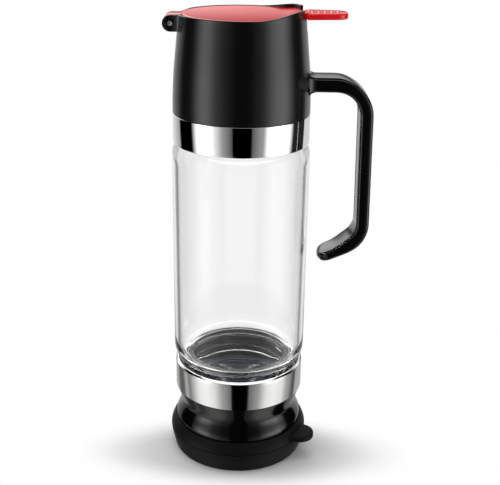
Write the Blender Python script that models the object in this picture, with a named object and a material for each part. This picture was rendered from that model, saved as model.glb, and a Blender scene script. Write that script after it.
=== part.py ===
# Glass honey dispenser: a bottle open at both ends, a screwed base with a
# funnel outlet and a soft foot cap, and a screwed head with a press lever
# that opens an air valve. Metres, +Z up, origin at the middle of the foot.

import math

import bmesh
import bpy
from mathutils import Vector

MM = 0.001
TURN = 2 * math.pi

# Driving dimensions
BODY_RADIUS = 35.0 * MM         # outside of the two metal bands
GAP = 0.3 * MM                  # seat clearance between neighbouring pieces
GLASS_HEIGHT = 148.6 * MM       # mouth to mouth
GLASS_STEP = 0.6 * MM           # glass wall past the bands
HEAD_HEIGHT = 48.9 * MM         # head shell, joint to rim
HEAD_TAPER = 3.2 * MM           # head's rim in from its lower edge
GRIP_OFFSET = 29.1 * MM         # bands to the middle of the grip
OVERRUN = 2.0 * MM              # how far a cutter passes a face
SEGMENTS = 36                   # facets round a main piece
FINE_SEGMENTS = 48              # facets round the head shell
SMALL_SEGMENTS = 16             # facets round a stem, a washer or a screw

# Foot cap
CAP_HEIGHT = 17.4 * MM
CAP_FLOOR = 3.0 * MM
CAP_RIM_STEP = 0.8 * MM         # rim past the collar's lip
CAP_BULGE = 2.3 * MM            # belly past the rim
CAP_BULGE_HEIGHT = 11.2 * MM
CAP_EDGE = 0.8 * MM
CAP_BASE_STEP = 0.4 * MM        # lower wall past the rim
PLUG_HEIGHT = 13.0 * MM         # above the cap's floor
PLUG_WALL = 2.2 * MM
TAB_SIDE = 17.3 * MM            # tab's middle line off to the front
TAB_HALF_WIDTH = 7.7 * MM
TAB_END_INSET = 0.4 * MM        # centre of the tab's round end in from the bands
TAB_THICKNESS = 3.0 * MM
TAB_TOP = 14.6 * MM
TAB_EDGE = 0.8 * MM

# Base collar
COLLAR_NECK_HEIGHT = 19.7 * MM  # lip to the lower band
COLLAR_LIP_INSET = 0.1 * MM
COLLAR_LIP_HEIGHT = 3.1 * MM
COLLAR_WAIST_INSET = 3.0 * MM
COLLAR_TOP_INSET = 0.4 * MM
COLLAR_WALL = 2.9 * MM
COLLAR_SKIRT_INSET = 1.8 * MM
SEAT_RISE = 0.8 * MM            # seat above the lower band's edge
SEAT_THICKNESS = 2.8 * MM
SEAT_LIP = 3.6 * MM             # seat's hole in from the glass neck's inside
SLEEVE_HEIGHT = 15.0 * MM       # threaded sleeve above the band's edge
SLEEVE_WALL = 4.4 * MM          # sleeves under both bands

# Metal bands
BAND_WALL = 0.9 * MM
LOWER_BAND_HEIGHT = 16.5 * MM
LOWER_BAND_LIP = 0.9 * MM       # turned in past the band's inside
LOWER_BAND_EDGE = 1.0 * MM
UPPER_BAND_HEIGHT = 15.1 * MM
UPPER_BAND_EDGE = 0.4 * MM

# Outlet funnel
FUNNEL_FLANGE = 1.5 * MM
FUNNEL_WALL = 1.8 * MM
FUNNEL_RIM = 1.6 * MM           # step from the flange down to the cone
SPOUT_RADIUS = 7.5 * MM
SPOUT_TOP = 11.9 * MM           # cone depth below the flange's underside
SPOUT_CLEARANCE = 3.0 * MM      # spout's end above the cap's floor

# Gaskets
GASKET_THICKNESS = 1.6 * MM
GASKET_INSET = 0.2 * MM

# Glass
GLASS_WALL = 2.8 * MM
NECK_WALL = 3.3 * MM
NECK_LENGTH = 12.4 * MM
SHOULDER_HEIGHT = 11.4 * MM
SHOULDER_POWER = 3.0            # squareness of the shoulder curve
SHOULDER_STEPS = 5
MOUTH_EDGE = 0.7 * MM

# Threads, right-handed
PITCH = 5.08 * MM
THREAD_HEIGHT = 1.1 * MM
THREAD_BASE = 2.0 * MM
THREAD_CREST = 0.9 * MM
THREAD_SINK = 0.4 * MM          # root of the ridge buried in its wall
THREAD_TURNS = 1.15
THREAD_START = 3.0 * MM         # first ridge in from the mouth
THREAD_CLEARANCE = 0.4 * MM
RUN_OUT_STEPS = 3

# Neck insert
HEAD_RISE = 1.3 * MM            # head shell's lower edge above the glass
ROOF_THICKNESS = 3.0 * MM
ROOF_HOLE_RADIUS = 4.0 * MM
TOWER_RADIUS = 8.5 * MM
TOWER_WALL = 1.5 * MM
TOWER_HEIGHT = 10.0 * MM
INSERT_EDGE = 0.6 * MM
PILLAR_HEIGHT = 5.0 * MM        # screw pillars on the roof
PILLAR_RADIUS = 2.8 * MM

# Head shell
SHELL_WALL = 2.4 * MM
RIM_WALL = 1.4 * MM
SHELL_FLANGE = 2.0 * MM
SHELL_FLANGE_WIDTH = 7.5 * MM
DECK_DEPTH = 10.0 * MM          # deck's top below the rim
LEDGE_WIDTH = 2.4 * MM
LEDGE_RAKE = 2.4 * MM
SHOULDER_RISE = 2.9 * MM        # rim's two raised shoulders at the slot
SHOULDER_PEAK = 25.0            # degrees from the handle side
SHOULDER_START = 76.0
SHOULDER_DROP = 1.2 * MM        # from the peak to the slot's edge
SLOT_WIDTH = 10.0 * MM          # the lever's neck moves down in it
SADDLE_WIDTH = 20.2 * MM        # gap between the shoulders, down to the thumb tab
SADDLE_GAP = 0.4 * MM
RIM_EDGE = 0.4 * MM
HEAD_BULGE_SHARES = ((0.0, 0.0), (0.14, 0.02), (0.32, 0.14), (0.46, 0.29),
                     (0.60, 0.50), (0.75, 0.73), (0.90, 0.93))

# Hinge
PIN_RADIUS = 1.1 * MM
PIN_OUTSET = 3.3 * MM           # pin's axis outside the rim
PIN_DEPTH = 4.65 * MM           # pin's axis below the rim
EAR_RADIUS = 4.0 * MM
EAR_THICKNESS = 2.7 * MM
EAR_ROOT = 0.9 * MM             # ear's root inside the rim's inner face
TONGUE_WIDTH = 9.2 * MM
TONGUE_SIDE = 0.4 * MM
TONGUE_NOTCH = 4.6 * MM         # notch in the rim below its edge
PIN_END = 0.2 * MM

# Lever
LEVER_DROP = 0.7 * MM           # plate's edge below the rim
LEVER_THICKNESS = 3.0 * MM
LEVER_GAP = 0.4 * MM
LEVER_DISH = 1.2 * MM
LEVER_RIM = 4.4 * MM
LEVER_EDGE = 0.4 * MM
BARREL_RADIUS = 3.8 * MM
BARREL_FLAT = 2.1 * MM          # pin's axis to the barrel's flat side
BOSS_RADIUS = 2.5 * MM
BOSS_HEIGHT = 1.0 * MM
NECK_HALF_WIDTH = 4.5 * MM
PADDLE_START = 0.9 * MM         # outside the rim
PADDLE_LENGTH = 19.1 * MM
PADDLE_WIDTH = 19.4 * MM        # at the rim
PADDLE_TAPER = 2.2 * MM         # each side, towards the tip
PADDLE_THICKNESS = 3.0 * MM
PADDLE_RISE = 1.7 * MM          # underside above the plate's underside
PADDLE_ROUND = 6.0 * MM
PADDLE_EDGE = 0.7 * MM
RIB_HEIGHT = 0.5 * MM
RIB_WIDTH = 1.3 * MM
RIB_START = 1.3 * MM            # first rib from the paddle's root
RIB_PITCH = 3.3 * MM
RIB_COUNT = 5
RIB_SIDE = 1.9 * MM

# Air valve
DECK_THICKNESS = 1.7 * MM
STEM_RADIUS = 4.2 * MM
STEM_GAP = 0.4 * MM
BUTTON_RADIUS = 7.5 * MM
BUTTON_THICKNESS = 2.4 * MM
BUTTON_EDGE = 0.6 * MM
STEM_LENGTH = 9.6 * MM
STEM_FLANGE_RADIUS = 6.4 * MM
STEM_FLANGE = 2.2 * MM
ROD_RADIUS = 1.5 * MM
ROD_HEAD_RADIUS = 2.8 * MM
ROD_HEAD = 1.2 * MM
DISC_RADIUS = 8.0 * MM
DISC_THICKNESS = 1.8 * MM
RETAINER_RADIUS = 5.6 * MM
RETAINER_THICKNESS = 2.0 * MM
SPRING_RADIUS = 5.3 * MM
SPRING_WIRE = 0.45 * MM
SPRING_TURNS = 6
SPRING_POINTS = 8              # points to a turn

# Insert screws
INSERT_SCREW_COUNT = 3
INSERT_SCREW_INSET = 4.4 * MM    # from the shell's inside
INSERT_SCREW_ANGLE = 47.0       # first screw, degrees
SCREW_RADIUS = 1.2 * MM
SCREW_LENGTH = 7.0 * MM
SCREW_HEAD_RADIUS = 2.3 * MM
SCREW_HEAD = 1.6 * MM
SCREW_GAP = 0.25 * MM

# Handle
HANDLE_WIDTH = 17.6 * MM
ARM_THICKNESS = 7.3 * MM
ARM_BEND_THICKNESS = 6.5 * MM
GRIP_THICKNESS = 6.8 * MM
CURL_THICKNESS = 7.3 * MM
TIP_THICKNESS = 5.2 * MM
TIP_ROUND = 7.6 * MM            # length of the rounded tip
ARM_RISE = 15.1 * MM            # arm's middle above the head's lower edge
ARM_BEND = 16.4 * MM            # radius of the upper bend's middle line
GRIP_LEAN = 0.9 * MM            # grip's lower end further out
GRIP_LENGTH = 56.7 * MM
CURL_RADIUS = 14.0 * MM
CURL_TURN = 53.0
TIP_BEND = 50.0 * MM
TIP_TURN = 14.0
HANDLE_CORNER = 1.9 * MM
ROOT_FLARE = 2.3 * MM
ROOT_LENGTH = 2.8 * MM
ROOT_SHARES = ((0.0, 0.8), (0.3, 0.35), (1.0, 0.0))
TIP_SHARES = ((0.35, 0.99, 0.94), (0.64, 0.90, 0.78), (0.86, 0.70, 0.53),
              (0.98, 0.36, 0.26))
HANDLE_SCREW_SPACING = 9.0 * MM
PAD_DEPTH = 1.6 * MM            # flat pad inside the shell's wall
PAD_WIDTH = 16.0 * MM
PAD_HEIGHT = 7.0 * MM

# Heights up the axis, worked out from the sizes above
LIP_Z = CAP_HEIGHT + GAP
LOWER_BAND_Z = LIP_Z + COLLAR_NECK_HEIGHT
SEAT_Z = LOWER_BAND_Z + SEAT_RISE
FUNNEL_Z = SEAT_Z + GAP
BASE_GASKET_Z = FUNNEL_Z + FUNNEL_FLANGE + GAP
GLASS_Z = BASE_GASKET_Z + GASKET_THICKNESS + GAP
GLASS_TOP_Z = GLASS_Z + GLASS_HEIGHT
HEAD_GASKET_Z = GLASS_TOP_Z + GAP
ROOF_Z = HEAD_GASKET_Z + GASKET_THICKNESS + GAP
ROOF_TOP_Z = ROOF_Z + ROOF_THICKNESS
FLANGE_Z = ROOF_TOP_Z + PILLAR_HEIGHT + GAP
FLANGE_TOP_Z = FLANGE_Z + SHELL_FLANGE
SHELL_Z = GLASS_TOP_Z + HEAD_RISE
RIM_Z = SHELL_Z + HEAD_HEIGHT
UPPER_BAND_TOP_Z = SHELL_Z - GAP
UPPER_BAND_Z = UPPER_BAND_TOP_Z - UPPER_BAND_HEIGHT
DECK_TOP_Z = RIM_Z - DECK_DEPTH
LEVER_TOP_Z = RIM_Z - LEVER_DROP
LEVER_Z = LEVER_TOP_Z - LEVER_THICKNESS
PIN_Z = RIM_Z - PIN_DEPTH
BUTTON_TOP_Z = LEVER_Z - BOSS_HEIGHT - GAP
ARM_Z = SHELL_Z + ARM_RISE

# Radii that several pieces share
GLASS_RADIUS = BODY_RADIUS + GLASS_STEP
HEAD_TOP_RADIUS = BODY_RADIUS - HEAD_TAPER
SLEEVE_RADIUS = BODY_RADIUS - BAND_WALL - GAP
BORE_RADIUS = SLEEVE_RADIUS - SLEEVE_WALL
NECK_RADIUS = BORE_RADIUS - THREAD_HEIGHT - THREAD_CLEARANCE
NECK_INSIDE = NECK_RADIUS - NECK_WALL
SEAT_HOLE_RADIUS = NECK_INSIDE - SEAT_LIP
POCKET_RADIUS = HEAD_TOP_RADIUS - RIM_WALL
LEVER_RADIUS = POCKET_RADIUS - LEVER_GAP
CAP_RIM_RADIUS = BODY_RADIUS + CAP_RIM_STEP
SKIRT_RADIUS = BODY_RADIUS - COLLAR_SKIRT_INSET
PIN_X = -(HEAD_TOP_RADIUS + PIN_OUTSET)
INSERT_SCREW_CIRCLE = BODY_RADIUS - SHELL_WALL - INSERT_SCREW_INSET
TAB_END = BODY_RADIUS - TAB_END_INSET
HANDLE_REACH = BODY_RADIUS + GRIP_OFFSET
STEM_BOTTOM_Z = BUTTON_TOP_Z - BUTTON_THICKNESS - STEM_LENGTH


# Materials

COLOURS = {
    "matte_black": ((0.008, 0.008, 0.009), 0.40, 0.0),
    "gloss_black": ((0.006, 0.006, 0.007), 0.12, 0.0),
    "rubber_black": ((0.012, 0.012, 0.013), 0.70, 0.0),
    "lever_red": ((0.62, 0.012, 0.020), 0.30, 0.0),
    "glass": ((0.90, 0.94, 0.95), 0.02, 0.0),
    "polished_steel": ((0.80, 0.80, 0.81), 0.10, 1.0),
    "brushed_steel": ((0.74, 0.74, 0.73), 0.28, 1.0),
    "silicone": ((0.75, 0.77, 0.78), 0.50, 0.0),
    "inner_plastic": ((0.040, 0.044, 0.050), 0.35, 0.0),
}


def finish(obj, colour):
    rgb, roughness, metallic = COLOURS[colour]
    material = bpy.data.materials.new(obj.name)
    material.use_nodes = True
    shader = material.node_tree.nodes["Principled BSDF"]
    shader.inputs["Base Color"].default_value = (*rgb, 1.0)
    shader.inputs["Roughness"].default_value = roughness
    shader.inputs["Metallic"].default_value = metallic
    if colour == "glass":
        shader.inputs["Transmission Weight"].default_value = 1.0
    material.diffuse_color = (*rgb, 1.0)
    obj.data.materials.append(material)
    return obj


# Building tools

def clear_scene():
    for obj in list(bpy.data.objects):
        bpy.data.objects.remove(obj)


def add_empty(name, place, parent=None):
    empty = bpy.data.objects.new(name, None)
    bpy.context.scene.collection.objects.link(empty)
    empty.parent = parent
    empty.location = Vector(place) - (world_place(parent) if parent else Vector())
    return empty


def world_place(empty):
    place = Vector(empty.location)
    while empty.parent:
        empty = empty.parent
        place += empty.location
    return place


def mesh_object(name, points, faces, parent=None):
    bm = bmesh.new()
    corners = [bm.verts.new(point) for point in points]
    for face in faces:
        bm.faces.new([corners[index] for index in face])
    bmesh.ops.recalc_face_normals(bm, faces=bm.faces)
    mesh = bpy.data.meshes.new(name)
    bm.to_mesh(mesh)
    bm.free()
    mesh.shade_smooth()
    mesh.set_sharp_from_angle(angle=math.radians(35))
    obj = bpy.data.objects.new(name, mesh)
    bpy.context.scene.collection.objects.link(obj)
    if parent:
        origin = world_place(parent)
        for vertex in mesh.vertices:
            vertex.co -= origin
        obj.parent = parent
    return obj


def turned(name, outline, segments=SEGMENTS, parent=None, height_at=None):
    """A closed outline of (radius, z) points turned about the Z axis."""
    points = []
    rings = []
    for radius, z in outline:
        on_axis = radius == 0
        ring = []
        for step in range(1 if on_axis else segments):
            angle = TURN * step / segments
            lift = height_at(angle, z) if height_at else 0
            ring.append(len(points))
            points.append((radius * math.cos(angle), radius * math.sin(angle), z + lift))
        rings.append(ring)
    faces = []
    for index, ring in enumerate(rings):
        after = rings[(index + 1) % len(rings)]
        if len(ring) == 1 and len(after) == 1:
            continue
        for step in range(segments):
            ahead = (step + 1) % segments
            face = [ring[step % len(ring)], ring[ahead % len(ring)],
                    after[ahead % len(after)], after[step % len(after)]]
            faces.append(list(dict.fromkeys(face)))
    return mesh_object(name, points, faces, parent)


def extruded(name, outline, place, low, high, parent=None):
    """A flat outline pushed from low to high; place(u, v, w) gives the point."""
    count = len(outline)
    points = [place(u, v, w) for w in (low, high) for u, v in outline]
    faces = [list(range(count)), list(range(count, 2 * count))]
    for index in range(count):
        after = (index + 1) % count
        faces.append([index, after, after + count, index + count])
    return mesh_object(name, points, faces, parent)


def along_z(u, v, w):
    return (u, v, w)


def along_y(u, v, w):
    return (u, w, v)


def rod(name, radius, start, end, sides, parent=None):
    """A round bar between two points."""
    start, end = Vector(start), Vector(end)
    axis = (end - start).normalized()
    side = axis.orthogonal().normalized()
    other = axis.cross(side)
    ring = [math.cos(TURN * i / sides) * side + math.sin(TURN * i / sides) * other
            for i in range(sides)]
    points = [base + radius * ray for base in (start, end) for ray in ring]
    faces = [list(range(sides)), list(range(sides, 2 * sides))]
    for index in range(sides):
        after = (index + 1) % sides
        faces.append([index, after, after + sides, index + sides])
    return mesh_object(name, points, faces, parent)


def box(name, low, high):
    outline = [(low[0], low[1]), (high[0], low[1]), (high[0], high[1]), (low[0], high[1])]
    return extruded(name, outline, along_z, low[2], high[2])


def arc(centre, radius, start, end, steps):
    """Points on an arc, angles in degrees."""
    points = []
    for step in range(steps + 1):
        angle = math.radians(start + (end - start) * step / steps)
        points.append((centre[0] + radius * math.cos(angle),
                       centre[1] + radius * math.sin(angle)))
    return points


def rounded_box(half_x, half_y, corner, steps):
    """Outline of a rectangle with round corners about the origin."""
    points = []
    for quarter, (sx, sy) in enumerate(((1, 1), (-1, 1), (-1, -1), (1, -1))):
        centre = (sx * (half_x - corner), sy * (half_y - corner))
        points += arc(centre, corner, 90 * quarter, 90 * quarter + 90, steps)
    return points


def use_tool(target, tool, operation):
    tool.hide_render = True
    tool.display_type = "WIRE"
    modifier = target.modifiers.new(operation.lower() + "_" + tool.name, "BOOLEAN")
    modifier.operation = operation
    modifier.solver = "EXACT"
    modifier.object = tool
    return target


def cut(target, tool):
    return use_tool(target, tool, "DIFFERENCE")


def add(target, tool):
    return use_tool(target, tool, "UNION")


def bevel(obj, width, segments=1, angle=40):
    modifier = obj.modifiers.new("bevel", "BEVEL")
    modifier.width = width
    modifier.segments = segments
    modifier.limit_method = "ANGLE"
    modifier.angle_limit = math.radians(angle)
    return obj


def thread_ridge(name, root, outward, middle_z, parent=None):
    """A right-handed ridge on a wall of radius root, standing out or in."""
    way = 1 if outward else -1
    steps = round(THREAD_TURNS * SEGMENTS)
    points = []
    for step in range(steps + 1):
        angle = TURN * step / SEGMENTS
        run_out = min(step, steps - step, RUN_OUT_STEPS) / RUN_OUT_STEPS
        crest = root + way * (THREAD_HEIGHT * run_out - THREAD_SINK / 2 * (1 - run_out))
        buried = root - way * THREAD_SINK
        z = middle_z + PITCH * (angle / TURN - THREAD_TURNS / 2)
        for radius, half in ((buried, THREAD_BASE / 2), (crest, THREAD_CREST / 2)):
            for side in (-1, 1):
                points.append((radius * math.cos(angle), radius * math.sin(angle),
                               z + side * half))
    corner_order = (0, 1, 3, 2)
    faces = [list(corner_order), [4 * steps + c for c in corner_order]]
    for step in range(steps):
        for index in range(4):
            a, b = corner_order[index], corner_order[(index + 1) % 4]
            faces.append([4 * step + a, 4 * step + b, 4 * step + 4 + b, 4 * step + 4 + a])
    return mesh_object(name, points, faces, parent)


def shell_outline(clearance=0.0):
    """Outside of the head shell from the joint up to the rim."""
    points = [(BODY_RADIUS - HEAD_TAPER * fall + clearance, SHELL_Z + HEAD_HEIGHT * rise)
              for rise, fall in HEAD_BULGE_SHARES]
    points.append((HEAD_TOP_RADIUS + clearance, RIM_Z - RIM_EDGE))
    return points


def shell_radius(z):
    """Outside radius of the head shell at a height."""
    points = shell_outline()
    for (r0, z0), (r1, z1) in zip(points, points[1:]):
        if z <= z1:
            return r0 + (r1 - r0) * (z - z0) / (z1 - z0)
    return points[-1][0]


# Base

def make_base_cap():
    wall = CAP_RIM_RADIUS
    belly = wall + CAP_BULGE
    foot = wall + CAP_BASE_STEP
    inside = SKIRT_RADIUS + GAP
    plug = SPOUT_RADIUS - GAP
    plug_top = CAP_FLOOR + PLUG_HEIGHT
    outline = [
        (0, 0), (foot - CAP_EDGE, 0), (foot, CAP_EDGE),
        ((belly + foot) / 2, CAP_BULGE_HEIGHT * 0.36),
        (belly - CAP_EDGE / 4, CAP_BULGE_HEIGHT * 0.72), (belly, CAP_BULGE_HEIGHT),
        ((belly * 2 + wall) / 3, (CAP_BULGE_HEIGHT + CAP_HEIGHT) / 2),
        (wall, CAP_HEIGHT - CAP_EDGE), (wall - CAP_EDGE, CAP_HEIGHT), (inside, CAP_HEIGHT),
        (inside, CAP_FLOOR), (plug, CAP_FLOOR), (plug, plug_top - CAP_EDGE),
        (plug - CAP_EDGE, plug_top), (plug - PLUG_WALL, plug_top),
        (plug - PLUG_WALL, CAP_FLOOR), (0, CAP_FLOOR),
    ]
    cap = turned("base_cap", outline)
    root = (wall + inside) / 2
    far, near = TAB_HALF_WIDTH - TAB_SIDE, -TAB_HALF_WIDTH - TAB_SIDE
    tab = arc((0, 0), root, math.degrees(math.asin(far / root)),
              math.degrees(math.asin(near / root)), 5)
    tab += arc((TAB_END, -TAB_SIDE), TAB_HALF_WIDTH, -90, 90, 9)
    tongue = extruded("cap_tab_tool", tab, along_z, TAB_TOP - TAB_THICKNESS, TAB_TOP)
    bevel(tongue, TAB_EDGE)
    add(cap, tongue)
    return finish(cap, "rubber_black")


def make_base_collar(parent):
    lip = BODY_RADIUS - COLLAR_LIP_INSET
    waist = BODY_RADIUS - COLLAR_WAIST_INSET
    top = BODY_RADIUS - COLLAR_TOP_INSET
    skirt = SKIRT_RADIUS
    foot_z = CAP_FLOOR + GAP
    neck_z = LIP_Z + COLLAR_LIP_HEIGHT
    rise = LOWER_BAND_Z - GAP - neck_z
    seat_under = SEAT_Z - SEAT_THICKNESS
    top_z = LOWER_BAND_Z + SLEEVE_HEIGHT
    outline = [
        (skirt - COLLAR_WALL, foot_z), (skirt - CAP_EDGE, foot_z), (skirt, foot_z + CAP_EDGE),
        (skirt, LIP_Z), (lip, LIP_Z), (lip, neck_z - COLLAR_LIP_HEIGHT * 0.4),
        (lip - CAP_EDGE / 2, neck_z), (waist + (lip - waist) * 0.64, neck_z + rise * 0.10),
        (waist + (lip - waist) * 0.2, neck_z + rise * 0.26), (waist, neck_z + rise * 0.42),
        (waist + (lip - waist) * 0.12, neck_z + rise * 0.56),
        (waist + (lip - waist) * 0.42, neck_z + rise * 0.74), (top, neck_z + rise),
        (SLEEVE_RADIUS, neck_z + rise), (SLEEVE_RADIUS, top_z - INSERT_EDGE),
        (SLEEVE_RADIUS - INSERT_EDGE, top_z), (BORE_RADIUS, top_z), (BORE_RADIUS, SEAT_Z),
        (SEAT_HOLE_RADIUS, SEAT_Z), (SEAT_HOLE_RADIUS, seat_under),
        (waist - COLLAR_WALL, seat_under), (waist - COLLAR_WALL, LIP_Z + COLLAR_LIP_HEIGHT),
        (skirt - COLLAR_WALL, LIP_Z),
    ]
    collar = turned("base_collar", outline, parent=parent)
    middle = GLASS_Z + THREAD_START + PITCH * (THREAD_TURNS / 2 + 0.5)
    add(collar, thread_ridge("base_thread_tool", BORE_RADIUS, False, middle))
    return finish(collar, "gloss_black")


def make_lower_band(parent):
    inner = BODY_RADIUS - BAND_WALL
    top = LOWER_BAND_Z + LOWER_BAND_HEIGHT
    lip = inner - LOWER_BAND_LIP
    outline = [
        (inner, LOWER_BAND_Z), (BODY_RADIUS, LOWER_BAND_Z),
        (BODY_RADIUS, top - LOWER_BAND_EDGE),
        (BODY_RADIUS - LOWER_BAND_EDGE * 0.3, top - LOWER_BAND_EDGE * 0.3),
        (BODY_RADIUS - LOWER_BAND_EDGE, top), (lip, top), (lip, top - BAND_WALL),
        (inner, top - BAND_WALL),
    ]
    band = turned("lower_band", outline, parent=parent)
    return finish(band, "brushed_steel")


def make_outlet_funnel(parent):
    flange = BORE_RADIUS - THREAD_HEIGHT - GAP
    top = FUNNEL_Z + FUNNEL_FLANGE
    cone_top = SEAT_HOLE_RADIUS - GAP
    cone_z = FUNNEL_Z - FUNNEL_RIM
    spout = SPOUT_RADIUS + FUNNEL_WALL
    spout_z = FUNNEL_Z - SPOUT_TOP
    end_z = CAP_FLOOR + SPOUT_CLEARANCE
    outline = [
        (SPOUT_RADIUS, end_z), (spout, end_z), (spout, spout_z), (cone_top, cone_z),
        (cone_top, FUNNEL_Z), (flange, FUNNEL_Z), (flange, top), (cone_top + FUNNEL_WALL, top),
        (cone_top - FUNNEL_WALL, FUNNEL_Z), (cone_top - FUNNEL_WALL, cone_z),
        (SPOUT_RADIUS, spout_z),
    ]
    funnel = turned("outlet_funnel", outline, parent=parent)
    return finish(funnel, "inner_plastic")


def make_gasket(name, bottom, parent):
    inner = NECK_INSIDE + GASKET_INSET
    outer = NECK_RADIUS - GASKET_INSET / 2
    outline = [(inner, bottom), (outer, bottom), (outer, bottom + GASKET_THICKNESS),
               (inner, bottom + GASKET_THICKNESS)]
    return finish(turned(name, outline, parent=parent), "rubber_black")


# Glass

def shoulder(low_radius, high_radius, low_z, high_z):
    """Square-shouldered curve from the neck out to the wall."""
    points = []
    for step in range(SHOULDER_STEPS + 1):
        angle = math.pi / 2 * step / SHOULDER_STEPS
        across = math.sin(angle) ** (2 / SHOULDER_POWER)
        along = math.cos(angle) ** (2 / SHOULDER_POWER)
        points.append((low_radius + (high_radius - low_radius) * across,
                       high_z - (high_z - low_z) * along))
    return points


def make_glass_body(parent):
    wall_z = GLASS_Z + NECK_LENGTH + SHOULDER_HEIGHT
    half = GLASS_HEIGHT / 2
    outside = [(NECK_RADIUS - MOUTH_EDGE, GLASS_Z), (NECK_RADIUS, GLASS_Z + MOUTH_EDGE)]
    outside += shoulder(NECK_RADIUS, GLASS_RADIUS, GLASS_Z + NECK_LENGTH, wall_z)
    inside = [(NECK_INSIDE + MOUTH_EDGE, GLASS_Z), (NECK_INSIDE, GLASS_Z + MOUTH_EDGE)]
    inside += shoulder(NECK_INSIDE, GLASS_RADIUS - GLASS_WALL,
                       GLASS_Z + NECK_LENGTH + GLASS_WALL, wall_z)
    middle = GLASS_Z + half
    upper_outside = [(radius, 2 * middle - z) for radius, z in reversed(outside)]
    upper_inside = [(radius, 2 * middle - z) for radius, z in reversed(inside)]
    outline = outside + upper_outside + list(reversed(inside + upper_inside))
    glass = turned("glass_body", outline, parent=parent)
    rise = THREAD_START + PITCH * THREAD_TURNS / 2
    add(glass, thread_ridge("lower_neck_thread_tool", NECK_RADIUS, True, GLASS_Z + rise))
    add(glass, thread_ridge("upper_neck_thread_tool", NECK_RADIUS, True, GLASS_TOP_Z - rise))
    return finish(glass, "glass")


# Head

def insert_screw_places():
    for index in range(INSERT_SCREW_COUNT):
        angle = math.radians(INSERT_SCREW_ANGLE) + TURN * index / INSERT_SCREW_COUNT
        yield (INSERT_SCREW_CIRCLE * math.cos(angle), INSERT_SCREW_CIRCLE * math.sin(angle))


def make_neck_insert(parent):
    bottom = GLASS_TOP_Z - NECK_LENGTH + GAP
    roof_edge = BODY_RADIUS - SHELL_WALL - GAP
    tower_top = ROOF_TOP_Z + TOWER_HEIGHT
    outline = [
        (BORE_RADIUS, bottom), (SLEEVE_RADIUS - INSERT_EDGE, bottom),
        (SLEEVE_RADIUS, bottom + INSERT_EDGE), (SLEEVE_RADIUS, UPPER_BAND_TOP_Z - INSERT_EDGE),
        (roof_edge, UPPER_BAND_TOP_Z), (roof_edge, ROOF_TOP_Z), (TOWER_RADIUS, ROOF_TOP_Z),
        (TOWER_RADIUS, tower_top), (TOWER_RADIUS - TOWER_WALL, tower_top),
        (TOWER_RADIUS - TOWER_WALL, ROOF_TOP_Z), (ROOF_HOLE_RADIUS, ROOF_TOP_Z),
        (ROOF_HOLE_RADIUS, ROOF_Z), (BORE_RADIUS, ROOF_Z),
    ]
    insert = turned("neck_insert", outline, parent=parent)
    middle = GLASS_TOP_Z - THREAD_START - PITCH * (THREAD_TURNS / 2 + 0.5)
    add(insert, thread_ridge("head_thread_tool", BORE_RADIUS, False, middle))
    pillar_top = ROOF_TOP_Z + PILLAR_HEIGHT
    depth = FLANGE_TOP_Z - SCREW_LENGTH
    for index, (x, y) in enumerate(insert_screw_places(), 1):
        pillar = rod("pillar_tool_%d" % index, PILLAR_RADIUS,
                     (x, y, ROOF_TOP_Z - ROOF_THICKNESS / 2), (x, y, pillar_top),
                     SMALL_SEGMENTS // 2)
        add(insert, pillar)
        hole = rod("insert_hole_tool_%d" % index, SCREW_RADIUS + SCREW_GAP,
                   (x, y, depth - GAP), (x, y, pillar_top + OVERRUN), SMALL_SEGMENTS // 2)
        cut(insert, hole)
    return finish(insert, "inner_plastic")


def make_upper_band(parent):
    inner = BODY_RADIUS - BAND_WALL
    outline = [
        (inner, UPPER_BAND_Z), (BODY_RADIUS - UPPER_BAND_EDGE, UPPER_BAND_Z),
        (BODY_RADIUS, UPPER_BAND_Z + UPPER_BAND_EDGE), (BODY_RADIUS, UPPER_BAND_TOP_Z),
        (inner, UPPER_BAND_TOP_Z),
    ]
    return finish(turned("upper_band", outline, parent=parent), "polished_steel")


def rim_lift(angle, z):
    """How far the rim rises beside the lever's slot."""
    if z < RIM_Z - 2 * RIM_EDGE:
        return 0
    away = abs(math.degrees(math.remainder(angle, TURN)))
    if away >= SHOULDER_START:
        return 0
    if away >= SHOULDER_PEAK:
        share = (SHOULDER_START - away) / (SHOULDER_START - SHOULDER_PEAK)
        return SHOULDER_RISE * share * share * (3 - 2 * share)
    share = 1 - away / SHOULDER_PEAK
    return SHOULDER_RISE - SHOULDER_DROP * share * share


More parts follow.
